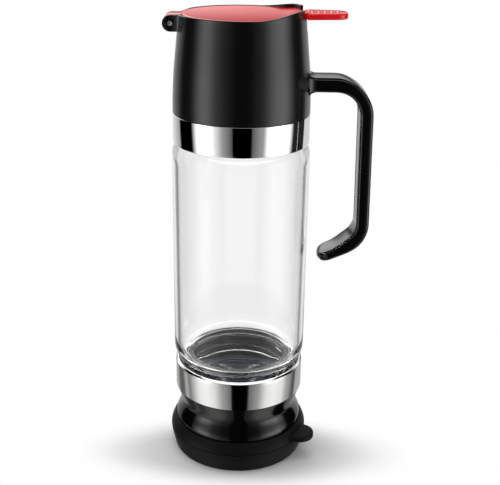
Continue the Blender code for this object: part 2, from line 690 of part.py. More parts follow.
def make_head_shell(parent):
    wall = SHELL_WALL
    deck_z = DECK_TOP_Z - DECK_THICKNESS
    ledge_z = deck_z - GAP
    outside = shell_outline()
    rim = [(HEAD_TOP_RADIUS - RIM_EDGE, RIM_Z), (POCKET_RADIUS, RIM_Z)]
    ledge = [(POCKET_RADIUS, ledge_z), (POCKET_RADIUS - LEDGE_WIDTH, ledge_z),
             (POCKET_RADIUS - LEDGE_WIDTH, ledge_z - SHELL_FLANGE),
             (shell_radius(ledge_z - LEDGE_RAKE) - wall,
              ledge_z - SHELL_FLANGE - LEDGE_RAKE)]
    inside = [(radius - wall, z) for radius, z in reversed(outside)
              if FLANGE_TOP_Z + SHELL_FLANGE < z < ledge_z - SHELL_FLANGE - 2 * LEDGE_RAKE]
    inside.append((shell_radius(FLANGE_TOP_Z) - wall, FLANGE_TOP_Z))
    flange_edge = BODY_RADIUS - wall - SHELL_FLANGE_WIDTH
    flange = [(flange_edge, FLANGE_TOP_Z), (flange_edge, FLANGE_Z),
              (shell_radius(FLANGE_Z) - wall, FLANGE_Z), (BODY_RADIUS - wall, SHELL_Z)]
    shell = turned("head_shell", outside + rim + ledge + inside + flange,
                   FINE_SEGMENTS, parent, rim_lift)

    pad_x = shell_radius(ARM_Z) - wall - PAD_DEPTH
    pad = box("screw_pad_tool", (pad_x, -PAD_WIDTH / 2, ARM_Z - PAD_HEIGHT / 2),
              (pad_x + PAD_DEPTH + wall / 2, PAD_WIDTH / 2, ARM_Z + PAD_HEIGHT / 2))
    add(shell, pad)
    for index, side in enumerate((-1, 1), 1):
        inner_y = TONGUE_WIDTH / 2 + TONGUE_SIDE
        root_x = -math.sqrt(POCKET_RADIUS ** 2 - inner_y ** 2) - EAR_ROOT / 2
        outline = [(root_x, PIN_Z - EAR_RADIUS), (root_x, PIN_Z + EAR_RADIUS)]
        outline += arc((PIN_X, PIN_Z), EAR_RADIUS, 90, 270, 8)
        ear = extruded("ear_tool_%d" % index, outline, along_y,
                       side * inner_y, side * (inner_y + EAR_THICKNESS))
        add(shell, ear)

    slot_floor = LEVER_Z - DECK_DEPTH / 2
    slot = box("slot_tool", (POCKET_RADIUS - OVERRUN, -SLOT_WIDTH / 2, slot_floor),
               (HEAD_TOP_RADIUS + OVERRUN, SLOT_WIDTH / 2, RIM_Z + SHOULDER_RISE + OVERRUN))
    cut(shell, slot)
    saddle_half = SADDLE_WIDTH / 2
    saddle_x = math.sqrt(POCKET_RADIUS ** 2 - saddle_half ** 2) - OVERRUN
    saddle = box("saddle_tool",
                 (saddle_x, -saddle_half, LEVER_Z + PADDLE_RISE - SADDLE_GAP),
                 (HEAD_TOP_RADIUS + 2 * OVERRUN, saddle_half,
                  RIM_Z + SHOULDER_RISE + 2 * OVERRUN))
    cut(shell, saddle)
    notch_half = TONGUE_WIDTH / 2 + TONGUE_SIDE * 0.75
    notch = box("tongue_notch_tool", (-HEAD_TOP_RADIUS - OVERRUN, -notch_half,
                                      RIM_Z - TONGUE_NOTCH),
                (-POCKET_RADIUS + 2 * OVERRUN, notch_half, RIM_Z + OVERRUN))
    cut(shell, notch)
    reach = TONGUE_WIDTH / 2 + TONGUE_SIDE + EAR_THICKNESS + OVERRUN
    bore = rod("pin_bore_tool", PIN_RADIUS + GAP, (PIN_X, -reach, PIN_Z),
               (PIN_X, reach, PIN_Z), SMALL_SEGMENTS)
    cut(shell, bore)
    for index, (x, y) in enumerate(insert_screw_places(), 1):
        hole = rod("flange_hole_tool_%d" % index, SCREW_RADIUS + SCREW_GAP,
                   (x, y, FLANGE_Z - GAP), (x, y, FLANGE_TOP_Z + GAP),
                   SMALL_SEGMENTS // 2)
        cut(shell, hole)
    for index, side in enumerate((-1, 1), 1):
        y = side * HANDLE_SCREW_SPACING / 2
        hole = rod("pad_hole_tool_%d" % index, SCREW_RADIUS + SCREW_GAP,
                   (pad_x - OVERRUN, y, ARM_Z), (BODY_RADIUS + OVERRUN, y, ARM_Z),
                   SMALL_SEGMENTS // 2)
        cut(shell, hole)
    return finish(shell, "matte_black")


def make_deck_plate(parent):
    outer = POCKET_RADIUS - GAP
    bottom = DECK_TOP_Z - DECK_THICKNESS
    hole = STEM_RADIUS + STEM_GAP
    outline = [(hole, bottom), (outer, bottom), (outer, DECK_TOP_Z), (hole, DECK_TOP_Z)]
    return finish(turned("deck_plate", outline, parent=parent), "matte_black")


def make_screw(name, seat, way, parent):
    """A pan-head screw; seat is under its head and way points along its shank."""
    seat, way = Vector(seat), Vector(way)
    screw = rod(name, SCREW_RADIUS, seat - way * SCREW_HEAD / 2, seat + way * SCREW_LENGTH,
                SMALL_SEGMENTS // 2, parent)
    add(screw, rod(name + "_head_tool", SCREW_HEAD_RADIUS, seat - way * SCREW_HEAD, seat,
                   SMALL_SEGMENTS))
    return finish(screw, "polished_steel")


def make_insert_screws(parent):
    for index, (x, y) in enumerate(insert_screw_places(), 1):
        make_screw("insert_screw_%d" % index, (x, y, FLANGE_TOP_Z + GAP), (0, 0, -1), parent)


def make_handle_screws(parent):
    seat_x = shell_radius(ARM_Z) - SHELL_WALL - PAD_DEPTH - GAP
    for index, side in enumerate((-1, 1), 1):
        make_screw("handle_screw_%d" % index,
                   (seat_x, side * HANDLE_SCREW_SPACING / 2, ARM_Z), (1, 0, 0), parent)


def handle_stations():
    """Middle line of the handle as (x, z, heading, thickness, width) stations."""
    root_x = shell_radius(ARM_Z) - SHELL_WALL / 2
    bend_x = HANDLE_REACH - GRIP_LEAN - ARM_BEND
    lean = math.degrees(math.atan2(GRIP_LEAN, GRIP_LENGTH))
    width = HANDLE_WIDTH
    turn = 90 - lean
    stations = [(root_x, ARM_Z, 0, ARM_THICKNESS + 2 * ROOT_FLARE, width + 2 * ROOT_FLARE)]
    for along, flare in ROOT_SHARES:
        stations.append((root_x + SHELL_WALL / 2 + ROOT_LENGTH * along, ARM_Z, 0,
                         ARM_THICKNESS + 2 * ROOT_FLARE * flare,
                         width + 2 * ROOT_FLARE * flare))
    legs = [
        (bend_x - stations[-1][0], 0, 1, ARM_THICKNESS),
        (ARM_BEND * math.radians(turn) / 2, turn / 2, 3, ARM_BEND_THICKNESS),
        (ARM_BEND * math.radians(turn) / 2, turn / 2, 3, GRIP_THICKNESS),
        (GRIP_LENGTH, 0, 1, GRIP_THICKNESS),
        (CURL_RADIUS * math.radians(CURL_TURN), CURL_TURN, 5, CURL_THICKNESS),
        (TIP_BEND * math.radians(TIP_TURN), TIP_TURN, 3, TIP_THICKNESS),
    ]
    x, z, heading, thick, _ = stations[-1]
    for length, turn, steps, thick_after in legs:
        thick_before = thick
        for step in range(1, steps + 1):
            heading -= turn / steps / 2
            x += length / steps * math.cos(math.radians(heading))
            z += length / steps * math.sin(math.radians(heading))
            heading -= turn / steps / 2
            share = step / steps
            thick = thick_before + (thick_after - thick_before) * share
            stations.append((x, z, heading, thick, width))
    for ahead, shrink, narrow in TIP_SHARES:
        stations.append((x + TIP_ROUND * ahead * math.cos(math.radians(heading)),
                         z + TIP_ROUND * ahead * math.sin(math.radians(heading)),
                         heading, TIP_THICKNESS * shrink, width * narrow))
    return stations


def make_handle(parent):
    points = []
    faces = []
    rings = []
    for x, z, heading, thick, width in handle_stations():
        normal = (-math.sin(math.radians(heading)), math.cos(math.radians(heading)))
        corner = min(HANDLE_CORNER, thick * 0.45)
        ring = []
        for v, w in rounded_box(thick / 2, width / 2, corner, 2):
            ring.append(len(points))
            points.append((x + normal[0] * v, w, z + normal[1] * v))
        rings.append(ring)
    for ring, after in zip(rings, rings[1:]):
        count = len(ring)
        for index in range(count):
            ahead = (index + 1) % count
            faces.append([ring[index], ring[ahead], after[ahead], after[index]])
    faces += [rings[0], rings[-1]]
    handle = mesh_object("handle", points, faces, parent)
    bite = [(0, SHELL_Z - OVERRUN)] + [(BODY_RADIUS + GAP, SHELL_Z - OVERRUN)]
    bite += shell_outline(GAP) + [(0, RIM_Z)]
    cut(handle, turned("handle_root_tool", bite, FINE_SEGMENTS))
    seat_x = shell_radius(ARM_Z) - SHELL_WALL - PAD_DEPTH - GAP
    for index, side in enumerate((-1, 1), 1):
        y = side * HANDLE_SCREW_SPACING / 2
        hole = rod("handle_hole_tool_%d" % index, SCREW_RADIUS + SCREW_GAP,
                   (seat_x, y, ARM_Z), (seat_x + SCREW_LENGTH + GAP, y, ARM_Z),
                   SMALL_SEGMENTS // 2)
        cut(handle, hole)
    return finish(handle, "matte_black")


def make_hinge_pin(parent):
    half = TONGUE_WIDTH / 2 + TONGUE_SIDE + EAR_THICKNESS + PIN_END
    pin = rod("hinge_pin", PIN_RADIUS, (PIN_X, -half, PIN_Z), (PIN_X, half, PIN_Z),
              SMALL_SEGMENTS, parent)
    return finish(pin, "polished_steel")


# Lever and air valve

def make_lever(parent):
    dish_edge = LEVER_RADIUS - LEVER_RIM
    top = LEVER_TOP_Z
    outline = [(0, top - LEVER_DISH)]
    outline += [(dish_edge * share, top - LEVER_DISH * (1 - share * share))
                for share in (0.45, 0.8, 1.0)]
    outline += [(LEVER_RADIUS - LEVER_EDGE, top), (LEVER_RADIUS, top - LEVER_EDGE),
                (LEVER_RADIUS, LEVER_Z), (BOSS_RADIUS, LEVER_Z),
                (BOSS_RADIUS, LEVER_Z - BOSS_HEIGHT), (0, LEVER_Z - BOSS_HEIGHT)]
    lever = turned("lever", outline, parent=parent)

    inner_x = -LEVER_RADIUS + LEVER_RIM
    flat_x = PIN_X + BARREL_FLAT
    flat_angle = math.degrees(math.acos(BARREL_FLAT / BARREL_RADIUS))
    barrel_top = PIN_Z + BARREL_RADIUS
    tongue = [(inner_x, LEVER_Z + LEVER_EDGE), (inner_x, barrel_top - LEVER_EDGE / 2)]
    tongue += arc((PIN_X, PIN_Z), BARREL_RADIUS, 90, 360 - flat_angle, 10)
    tongue += [(flat_x, LEVER_Z)]
    half = TONGUE_WIDTH / 2
    add(lever, extruded("tongue_tool", tongue, along_y, -half, half))

    paddle_x = HEAD_TOP_RADIUS + PADDLE_START
    under = LEVER_Z + PADDLE_RISE
    over = under + PADDLE_THICKNESS
    wall_x = HEAD_TOP_RADIUS - RIM_WALL / 2
    neck = [(LEVER_RADIUS - LEVER_RIM / 2, LEVER_Z + LEVER_EDGE / 2),
            (LEVER_RADIUS - LEVER_EDGE, LEVER_Z + LEVER_EDGE / 2),
            (wall_x, under + PADDLE_EDGE / 2), (paddle_x + OVERRUN, under + PADDLE_EDGE / 2),
            (paddle_x + OVERRUN, over - PADDLE_EDGE), (wall_x, over - PADDLE_EDGE),
            (LEVER_RADIUS - LEVER_RIM / 2, LEVER_TOP_Z - LEVER_EDGE / 2)]
    add(lever, extruded("lever_neck_tool", neck, along_y, -NECK_HALF_WIDTH, NECK_HALF_WIDTH))

    half = PADDLE_WIDTH / 2
    tip_half = half - PADDLE_TAPER
    side_length = PADDLE_LENGTH - PADDLE_ROUND
    round_x = paddle_x + side_length
    root_angle = math.degrees(math.asin(half / paddle_x))
    side_angle = 90 - math.degrees(math.atan2(PADDLE_TAPER, side_length))
    paddle = arc((0, 0), paddle_x, root_angle, -root_angle, 6)
    paddle += arc((round_x, PADDLE_ROUND - tip_half), PADDLE_ROUND, -side_angle, 0, 4)
    paddle += arc((round_x, tip_half - PADDLE_ROUND), PADDLE_ROUND, 0, side_angle, 4)
    plate = extruded("paddle_tool", paddle, along_z, under, over)
    bevel(plate, PADDLE_EDGE)
    add(lever, plate)
    for index in range(RIB_COUNT):
        x = paddle_x + RIB_START + RIB_PITCH * index
        rib_half = half - RIB_SIDE - PADDLE_TAPER * min(1, (x - paddle_x) / side_length)
        rib = [(x - RIB_WIDTH / 2, over - RIB_HEIGHT), (x + RIB_WIDTH / 2, over - RIB_HEIGHT),
               (x + RIB_WIDTH / 2, over), (x + RIB_WIDTH / 4, over + RIB_HEIGHT),
               (x - RIB_WIDTH / 4, over + RIB_HEIGHT), (x - RIB_WIDTH / 2, over)]
        add(lever, extruded("rib_tool_%d" % (index + 1), rib, along_y, -rib_half, rib_half))
    reach = TONGUE_WIDTH / 2 + OVERRUN
    cut(lever, rod("lever_bore_tool", PIN_RADIUS + GAP, (PIN_X, -reach, PIN_Z),
                   (PIN_X, reach, PIN_Z), SMALL_SEGMENTS))
    return finish(lever, "lever_red")


def make_valve_button(parent):
    under = BUTTON_TOP_Z - BUTTON_THICKNESS
    bore = ROD_RADIUS + GAP
    bore_top = under - BUTTON_EDGE
    outline = [
        (bore, STEM_BOTTOM_Z), (STEM_FLANGE_RADIUS, STEM_BOTTOM_Z),
        (STEM_FLANGE_RADIUS, STEM_BOTTOM_Z + STEM_FLANGE),
        (STEM_RADIUS, STEM_BOTTOM_Z + STEM_FLANGE), (STEM_RADIUS, under),
        (BUTTON_RADIUS, under), (BUTTON_RADIUS, BUTTON_TOP_Z - BUTTON_EDGE),
        (BUTTON_RADIUS - BUTTON_EDGE, BUTTON_TOP_Z), (0, BUTTON_TOP_Z), (0, bore_top),
        (bore, bore_top),
    ]
    button = turned("valve_button", outline, SMALL_SEGMENTS, parent)
    return finish(button, "silicone")


def disc_z():
    return ROOF_Z - GAP - DISC_THICKNESS


def retainer_z():
    return disc_z() - GAP - RETAINER_THICKNESS


def make_valve_rod(parent):
    head_top = retainer_z() - GAP
    top = BUTTON_TOP_Z - BUTTON_THICKNESS - BUTTON_EDGE - GAP
    outline = [(0, head_top - ROD_HEAD), (ROD_HEAD_RADIUS, head_top - ROD_HEAD),
               (ROD_HEAD_RADIUS, head_top), (ROD_RADIUS, head_top), (ROD_RADIUS, top),
               (0, top)]
    return finish(turned("valve_rod", outline, SMALL_SEGMENTS, parent), "polished_steel")


def make_washer(name, radius, bottom, thickness, colour, parent):
    hole = ROD_RADIUS + GAP
    outline = [(hole, bottom), (radius, bottom), (radius, bottom + thickness),
               (hole, bottom + thickness)]
    return finish(turned(name, outline, SMALL_SEGMENTS, parent), colour)


def make_valve_spring(parent):
    low = ROOF_TOP_Z + GAP + SPRING_WIRE
    high = STEM_BOTTOM_Z - GAP - SPRING_WIRE
    count = SPRING_TURNS * SPRING_POINTS
    curve = bpy.data.curves.new("valve_spring", "CURVE")
    curve.dimensions = "3D"
    curve.bevel_depth = SPRING_WIRE
    curve.bevel_resolution = 1
    curve.use_fill_caps = True
    spline = curve.splines.new("POLY")
    spline.points.add(count)
    origin = world_place(parent)
    for index, point in enumerate(spline.points):
        angle = TURN * index / SPRING_POINTS
        place = Vector((SPRING_RADIUS * math.cos(angle), SPRING_RADIUS * math.sin(angle),
                        low + (high - low) * index / count)) - origin
        point.co = (*place, 1.0)
    spring = bpy.data.objects.new("valve_spring", curve)
    bpy.context.scene.collection.objects.link(spring)
    spring.parent = parent
    return finish(spring, "polished_steel")


def main():
    clear_scene()
    make_base_cap()

    base = add_empty("base", (0, 0, 0))
    make_base_collar(base)
    make_lower_band(base)
    make_outlet_funnel(base)

    base_seal = add_empty("base_seal", (0, 0, BASE_GASKET_Z), base)
    make_gasket("base_gasket", BASE_GASKET_Z, base_seal)
    bottle = add_empty("bottle", (0, 0, GLASS_Z), base_seal)
    make_glass_body(bottle)
    head_seal = add_empty("head_seal", (0, 0, HEAD_GASKET_Z), bottle)
    make_gasket("head_gasket", HEAD_GASKET_Z, head_seal)

    head = add_empty("head", (0, 0, SHELL_Z), head_seal)
    make_neck_insert(head)
    make_upper_band(head)
    make_head_shell(head)
    make_insert_screws(head)
    make_deck_plate(head)
    make_handle(head)
    make_handle_screws(head)
    make_hinge_pin(head)

    lever = add_empty("lever_axis", (PIN_X, 0, PIN_Z), head)
    make_lever(lever)
    valve = add_empty("valve_axis", (0, 0, ROOF_Z), head)
    make_valve_button(valve)
    make_valve_rod(valve)
    make_valve_spring(valve)
    make_washer("valve_disc", DISC_RADIUS, disc_z(), DISC_THICKNESS, "silicone", valve)
    make_washer("disc_retainer", RETAINER_RADIUS, retainer_z(), RETAINER_THICKNESS,
                "polished_steel", valve)


main()
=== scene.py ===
# Looks of the glass honey dispenser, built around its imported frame.
# Lengths in the dictionaries are in millimetres, angles in degrees.

import math
from functools import partial

import bmesh
import bpy
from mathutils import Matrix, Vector


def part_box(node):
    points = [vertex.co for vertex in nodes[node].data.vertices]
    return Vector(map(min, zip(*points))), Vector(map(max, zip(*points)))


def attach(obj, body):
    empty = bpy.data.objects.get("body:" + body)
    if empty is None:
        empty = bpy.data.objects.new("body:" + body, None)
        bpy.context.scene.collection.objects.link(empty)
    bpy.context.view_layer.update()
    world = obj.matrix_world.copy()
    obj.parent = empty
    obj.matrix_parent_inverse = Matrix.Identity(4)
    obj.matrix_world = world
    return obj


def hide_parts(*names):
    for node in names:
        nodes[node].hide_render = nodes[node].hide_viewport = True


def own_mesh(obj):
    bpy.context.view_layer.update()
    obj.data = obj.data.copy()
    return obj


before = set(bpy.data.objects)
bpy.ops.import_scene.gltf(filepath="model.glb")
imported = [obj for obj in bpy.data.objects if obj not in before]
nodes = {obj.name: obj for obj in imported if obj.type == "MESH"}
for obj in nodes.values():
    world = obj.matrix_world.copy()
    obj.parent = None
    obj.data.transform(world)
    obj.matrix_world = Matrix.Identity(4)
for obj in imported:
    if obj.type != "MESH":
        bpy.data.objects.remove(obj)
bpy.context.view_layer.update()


def mm(value):
    return value * 0.001


# Small helpers round the operators

def deselectAll():
    if bpy.context.object and bpy.context.object.mode != "OBJECT":
        bpy.ops.object.mode_set(mode="OBJECT")
    bpy.ops.object.select_all(action="DESELECT")


def makeActive(piece):
    deselectAll()
    piece.select_set(True)
    bpy.context.view_layer.objects.active = piece


def editing(piece):
    makeActive(piece)
    bpy.ops.object.mode_set(mode="EDIT")


def leaveEdit():
    bpy.ops.object.mode_set(mode="OBJECT")


# Points are (r, z) or (r, z, corner radius); those corners become arcs
def roundCorners(points, segments=5):
    result = []
    count = len(points)
    for index, point in enumerate(points):
        here = Vector(point[:2])
        if len(point) < 3 or point[2] == 0:
            result.append(here)
            continue
        before = Vector(points[index - 1][:2]) - here
        after = Vector(points[(index + 1) % count][:2]) - here
        halfAngle = before.angle(after) / 2
        # an arc takes less than half of the edges beside it
        reach = min(point[2] / math.tan(halfAngle), before.length * 0.49, after.length * 0.49)
        radius = reach * math.tan(halfAngle)
        middle = (before.normalized() + after.normalized()).normalized()
        centre = here + middle * radius / math.sin(halfAngle)
        first = here + before.normalized() * reach - centre
        last = here + after.normalized() * reach - centre
        sweep = first.angle_signed(last)
        for step in range(segments + 1):
            angle = -sweep * step / segments
            turned = Vector((first.x * math.cos(angle) - first.y * math.sin(angle),
                             first.x * math.sin(angle) + first.y * math.cos(angle)))
            result.append(centre + turned)
    return [(p[0], p[1]) for p in result]


# A soft curve through all the points
def smoothRun(points, steps=4):
    result = []
    for index in range(len(points) - 1):
        p0 = Vector(points[max(index - 1, 0)])
        p1 = Vector(points[index])
        p2 = Vector(points[index + 1])
        p3 = Vector(points[min(index + 2, len(points) - 1)])
        for step in range(steps):
            t = step / steps
            result.append(0.5 * (2 * p1 + (p2 - p0) * t + (2 * p0 - 5 * p1 + 4 * p2 - p3) * t * t
                                 + (3 * p1 - p0 - 3 * p2 + p3) * t ** 3))
    result.append(Vector(points[-1]))
    return [tuple(p) for p in result]


# One loose vertex, merged from a small plane, left in edit mode
def startVertex(name, place):
    deselectAll()
    bpy.ops.mesh.primitive_plane_add(size=mm(1), location=(0, 0, 0))
    piece = bpy.context.object
    piece.name = name
    piece.data.name = name
    bpy.ops.object.mode_set(mode="EDIT")
    bpy.ops.mesh.select_mode(type="VERT")
    bpy.ops.mesh.select_all(action="SELECT")
    bpy.ops.mesh.merge(type="CENTER")
    bpy.ops.transform.translate(value=place)
    return piece


# Extrudes the loose vertex from place to place, then closes the loop
def drawOutline(piece, places, closed=True):
    for before, after in zip(places, places[1:]):
        step = Vector(after) - Vector(before)
        bpy.ops.mesh.extrude_vertices_move(TRANSFORM_OT_translate={"value": step})
    if closed:
        mesh = bmesh.from_edit_mesh(piece.data)
        for vertex in mesh.verts:
            vertex.select_set(len(vertex.link_edges) == 1)
        mesh.select_flush(True)
        bmesh.update_edit_mesh(piece.data)
        bpy.ops.mesh.edge_face_add()


def cleanMesh(merge=0.0005):
    bpy.ops.mesh.select_all(action="SELECT")
    bpy.ops.mesh.remove_doubles(threshold=mm(merge))
    bpy.ops.mesh.normals_make_consistent(inside=False)


# An (r, z) outline, spun about the upright axis
def turnedPiece(name, outline, steps=128):
    places = [(mm(r), 0, mm(z)) for r, z in outline]
    piece = startVertex(name, places[0])
    # an outline that starts and ends on the axis stays open
    drawOutline(piece, places, closed=outline[0][0] > 0 or outline[-1][0] > 0)
    bpy.ops.mesh.select_all(action="SELECT")
    bpy.ops.mesh.spin(steps=steps, angle=2 * math.pi, center=(0, 0, 0), axis=(0, 0, 1))
    cleanMesh()
    leaveEdit()
    return piece


# A flat outline, filled and extruded along x, y or z from low to high
def slabPiece(name, outline, direction, low, high):
    def place(u, v, w):
        return {"x": (mm(w), mm(u), mm(v)), "y": (mm(u), mm(w), mm(v)),
                "z": (mm(u), mm(v), mm(w))}[direction]
    places = [place(u, v, low) for u, v in outline]
    piece = startVertex(name, places[0])
    drawOutline(piece, places)
    bpy.ops.mesh.select_all(action="SELECT")
    bpy.ops.mesh.edge_face_add()
    step = Vector(place(0, 0, high)) - Vector(place(0, 0, low))
    bpy.ops.mesh.extrude_region_move(TRANSFORM_OT_translate={"value": step})
    cleanMesh()
    leaveEdit()
    return piece


def softenEdges(piece, width, segments=3, angle=35):
    makeActive(piece)
    bevel = piece.modifiers.new("softEdges", "BEVEL")
    bevel.width = mm(width)
    bevel.segments = segments
    bevel.limit_method = "ANGLE"
    bevel.angle_limit = math.radians(angle)
    bevel.use_clamp_overlap = True
    bpy.ops.object.modifier_apply(modifier=bevel.name)
    return piece


def combine(piece, tool, operation):
    makeActive(piece)
    boolean = piece.modifiers.new("boolean", "BOOLEAN")
    boolean.operation = operation
    boolean.solver = "EXACT"
    boolean.object = tool
    bpy.ops.object.modifier_apply(modifier=boolean.name)
    bpy.data.objects.remove(tool)


def smoothShade(piece, angle=32):
    makeActive(piece)
    bpy.ops.object.shade_smooth_by_angle(angle=math.radians(angle))


def arcPoints(centre, radius, start, end, steps):
    angles = [math.radians(start + (end - start) * i / steps) for i in range(steps + 1)]
    return [(centre[0] + radius * math.cos(a), centre[1] + radius * math.sin(a)) for a in angles]


# The drawn section, swept round and up the upright axis, with both ends filled
def screwUp(piece, angle, rise, steps, rounds=1):
    leaveEdit()
    makeActive(piece)
    screw = piece.modifiers.new("screw", "SCREW")
    screw.axis = "Z"
    screw.angle = angle
    screw.screw_offset = mm(rise)
    screw.steps = screw.render_steps = steps
    screw.iterations = rounds
    bpy.ops.object.modifier_apply(modifier=screw.name)
    editing(piece)
    bpy.ops.mesh.select_all(action="DESELECT")
    bpy.ops.mesh.select_non_manifold()
    bpy.ops.mesh.fill_holes(sides=0)
    cleanMesh()


# From 0 to 1 with soft ends
def eased(share):
    share = max(0.0, min(1.0, share))
    return share * share * (3 - 2 * share)


# A node with its inputs, by name or number, set or linked
def addNode(tree, kind, inputs=None, **settings):
    node = tree.nodes.new("ShaderNode" + kind)
    for setting, value in settings.items():
        setattr(node, setting, value)
    for label, value in (inputs or {}).items():
        if isinstance(value, bpy.types.NodeSocket):
            tree.links.new(value, node.inputs[label])
        else:
            node.inputs[label].default_value = value
    return node


def mathNode(tree, operation, *terms):
    return addNode(tree, "Math", dict(enumerate(terms)), operation=operation).outputs[0]


# A soft step from 0 at the first limit to 1 at the second
def softStep(tree, value, limits):
    inputs = {"Value": value, "From Min": limits[0], "From Max": limits[1]}
    return addNode(tree, "MapRange", inputs, interpolation_type="SMOOTHSTEP").outputs["Result"]


# Camera: fitted to the photograph from the bands, the rim and the foot

cameraValues = {
    "place": (5.34, -474.56, 302.98),
    "lens": 68.27,
    "sensor": 36,
    "lookDown": 21.06,
    "roll": 0.86,
}


def makeCamera():
    values = cameraValues
    data = bpy.data.cameras.new("photoCamera")
    data.lens = values["lens"]
    data.sensor_width = values["sensor"]
    data.sensor_fit = "HORIZONTAL"
    camera = bpy.data.objects.new("photoCamera", data)
    bpy.context.scene.collection.objects.link(camera)
    camera.location = [mm(v) for v in values["place"]]
    camera.rotation_mode = "XYZ"
    camera.rotation_euler = (math.radians(90 - values["lookDown"]), 0, 0)
    camera.rotation_euler.rotate_axis("Z", math.radians(values["roll"]))
    bpy.context.scene.camera = camera
    print("camera placed")


# Studio: a white floor with a painted shadow round the foot, one soft lamp, and screens that only
# mirrored rays meet.
# A pair of limits says where one thing fades into the next, by one part of a ray's
# direction: across, back or up, each from -1 to 1. The glass's limits go by the
# direction as the camera has it.

studioValues = {
    "ambient": 0.74,
    "whiteBehind": 1.0,
    # stops of the soft screens that stand all round: angle from the camera's side towards
    # the handle's side (degrees) and brightness; the low ones are below the horizon
    "levelScreens": [
        (-180, 0.0), (-178, 0.0), (-175.5, 0.78), (-150, 0.72), (-124, 0.38), (-120, 0.0),
        (-89, 0.0), (-81, 0.8), (-69, 2.7), (-56, 2.5), (-46, 0.95), (-31, 0.34), (-14, 0.08),
        (-13, 0.0), (17, 0.0), (20, 0.12), (38, 0.35), (57, 2.4), (75, 2.9), (87, 1.3),
        (97, 0.02), (125, 0.0), (130, 0.64), (150, 0.68), (175.5, 0.7), (178, 0.0), (180, 0.0)],
    "lowScreens": [
        (-180, 0.5), (-150, 0.45), (-136, 0.12), (-122, 0.12), (-111, 0.46), (-101, 0.2),
        (-76, 0.9), (-60, 1.0), (-44, 0.82), (-30, 0.38), (-13, 0.16), (-12, 0.0), (18, 0.0),
        (19, 0.14), (38, 0.36), (53, 0.84), (68, 0.97), (88, 0.82), (98, 0.43), (108, 0.3),
        (122, 0.05), (132, 0.42), (180, 0.5)],
    "screenPeak": 3.0,
    "lowToLevel": (-0.46, -0.37),
    "highWalls": 0.35, "wallLimits": (-0.05, 0.25),
    "wallTop": (0.55, 0.68),
    # stops: how far up a ray points, brightness of what it meets behind the object
    "sky": [(-0.1, 0.05), (0.05, 0.08), (0.13, 0.30), (0.2, 0.8), (0.3, 1.1), (1.0, 1.1)],
    "skyBack": (0.3, 0.7), "skyFoot": (-0.05, 0.02),
    "leftGlow": 1.1, "leftLimits": (0.01, -0.13),
    # one screen high up on the camera's side
    "topScreen": 1.3, "topFoot": (0.68, 0.76), "topEnd": (0.955, 0.90), "topFront": (0.05, -0.12),
    # what shows inside the glass, by how far up a ray points, with dark sides;
    # rays that run along the view and down meet the white behind
    "roomInGlass": [(-1.0, 0.34), (0.2, 0.34), (0.34, 0.46), (0.5, 0.46), (0.57, 3.0),
                    (0.68, 3.0), (0.74, 0.3), (1.0, 0.3)],
    "glint": 1.7,
    "sidesInGlass": 0.12, "glassSides": (0.86, 0.97),
    "onwardAhead": (0.5, 0.7), "onwardDown": (0.0, -0.15),
    # rays that the glass bends far to a side meet a darker studio
    "edgeLevel": 0.22, "edgeLimits": (0.38, 0.56),
    # a painted oval shadow, darker in the floor's colour round the foot, wider than deep; stops by
    # share of its reach
    "floorSize": 16000, "paintedShadowCentre": (0, -17), "paintedShadowReach": (52, 18),
    "paintedShadowOnFloor": [(0, 0.66), (1.0, 0.68), (1.3, 0.81), (1.6, 0.93), (1.9, 0.97), (4, 0.97)],
    "floorWhite": [(0, 0.0), (1.3, 0.0), (1.6, 0.25), (1.9, 0.8), (2.1, 1.0), (4, 1.0)],
    "skyLamp": {"place": (-120, 160, 1000), "aim": (0, 0, 100), "size": 900, "power": 5.0},
}


# Grey by stops along a value
def greyRamp(tree, stops, value, peak=1):
    low, high = stops[0][0], stops[-1][0]
    share = addNode(tree, "MapRange", {"Value": value, "From Min": low, "From Max": high})
    ramp = addNode(tree, "ValToRGB", {"Fac": share.outputs["Result"]})
    elements = ramp.color_ramp.elements
    elements.remove(elements[1])
    for index, (place, level) in enumerate(stops):
        position = (place - low) / (high - low)
        element = elements[0] if index == 0 else elements.new(position)
        element.position = position
        element.color = (level / peak, level / peak, level / peak, 1)
    return ramp.outputs["Color"]


# A direction, as the camera has it: x runs across the picture, z along the view
def asSeen(tree, direction):
    turn = addNode(tree, "VectorTransform", {0: direction}, vector_type="VECTOR",
                   convert_from="WORLD", convert_to="CAMERA")
    return addNode(tree, "SeparateXYZ", {0: turn.outputs[0]}).outputs


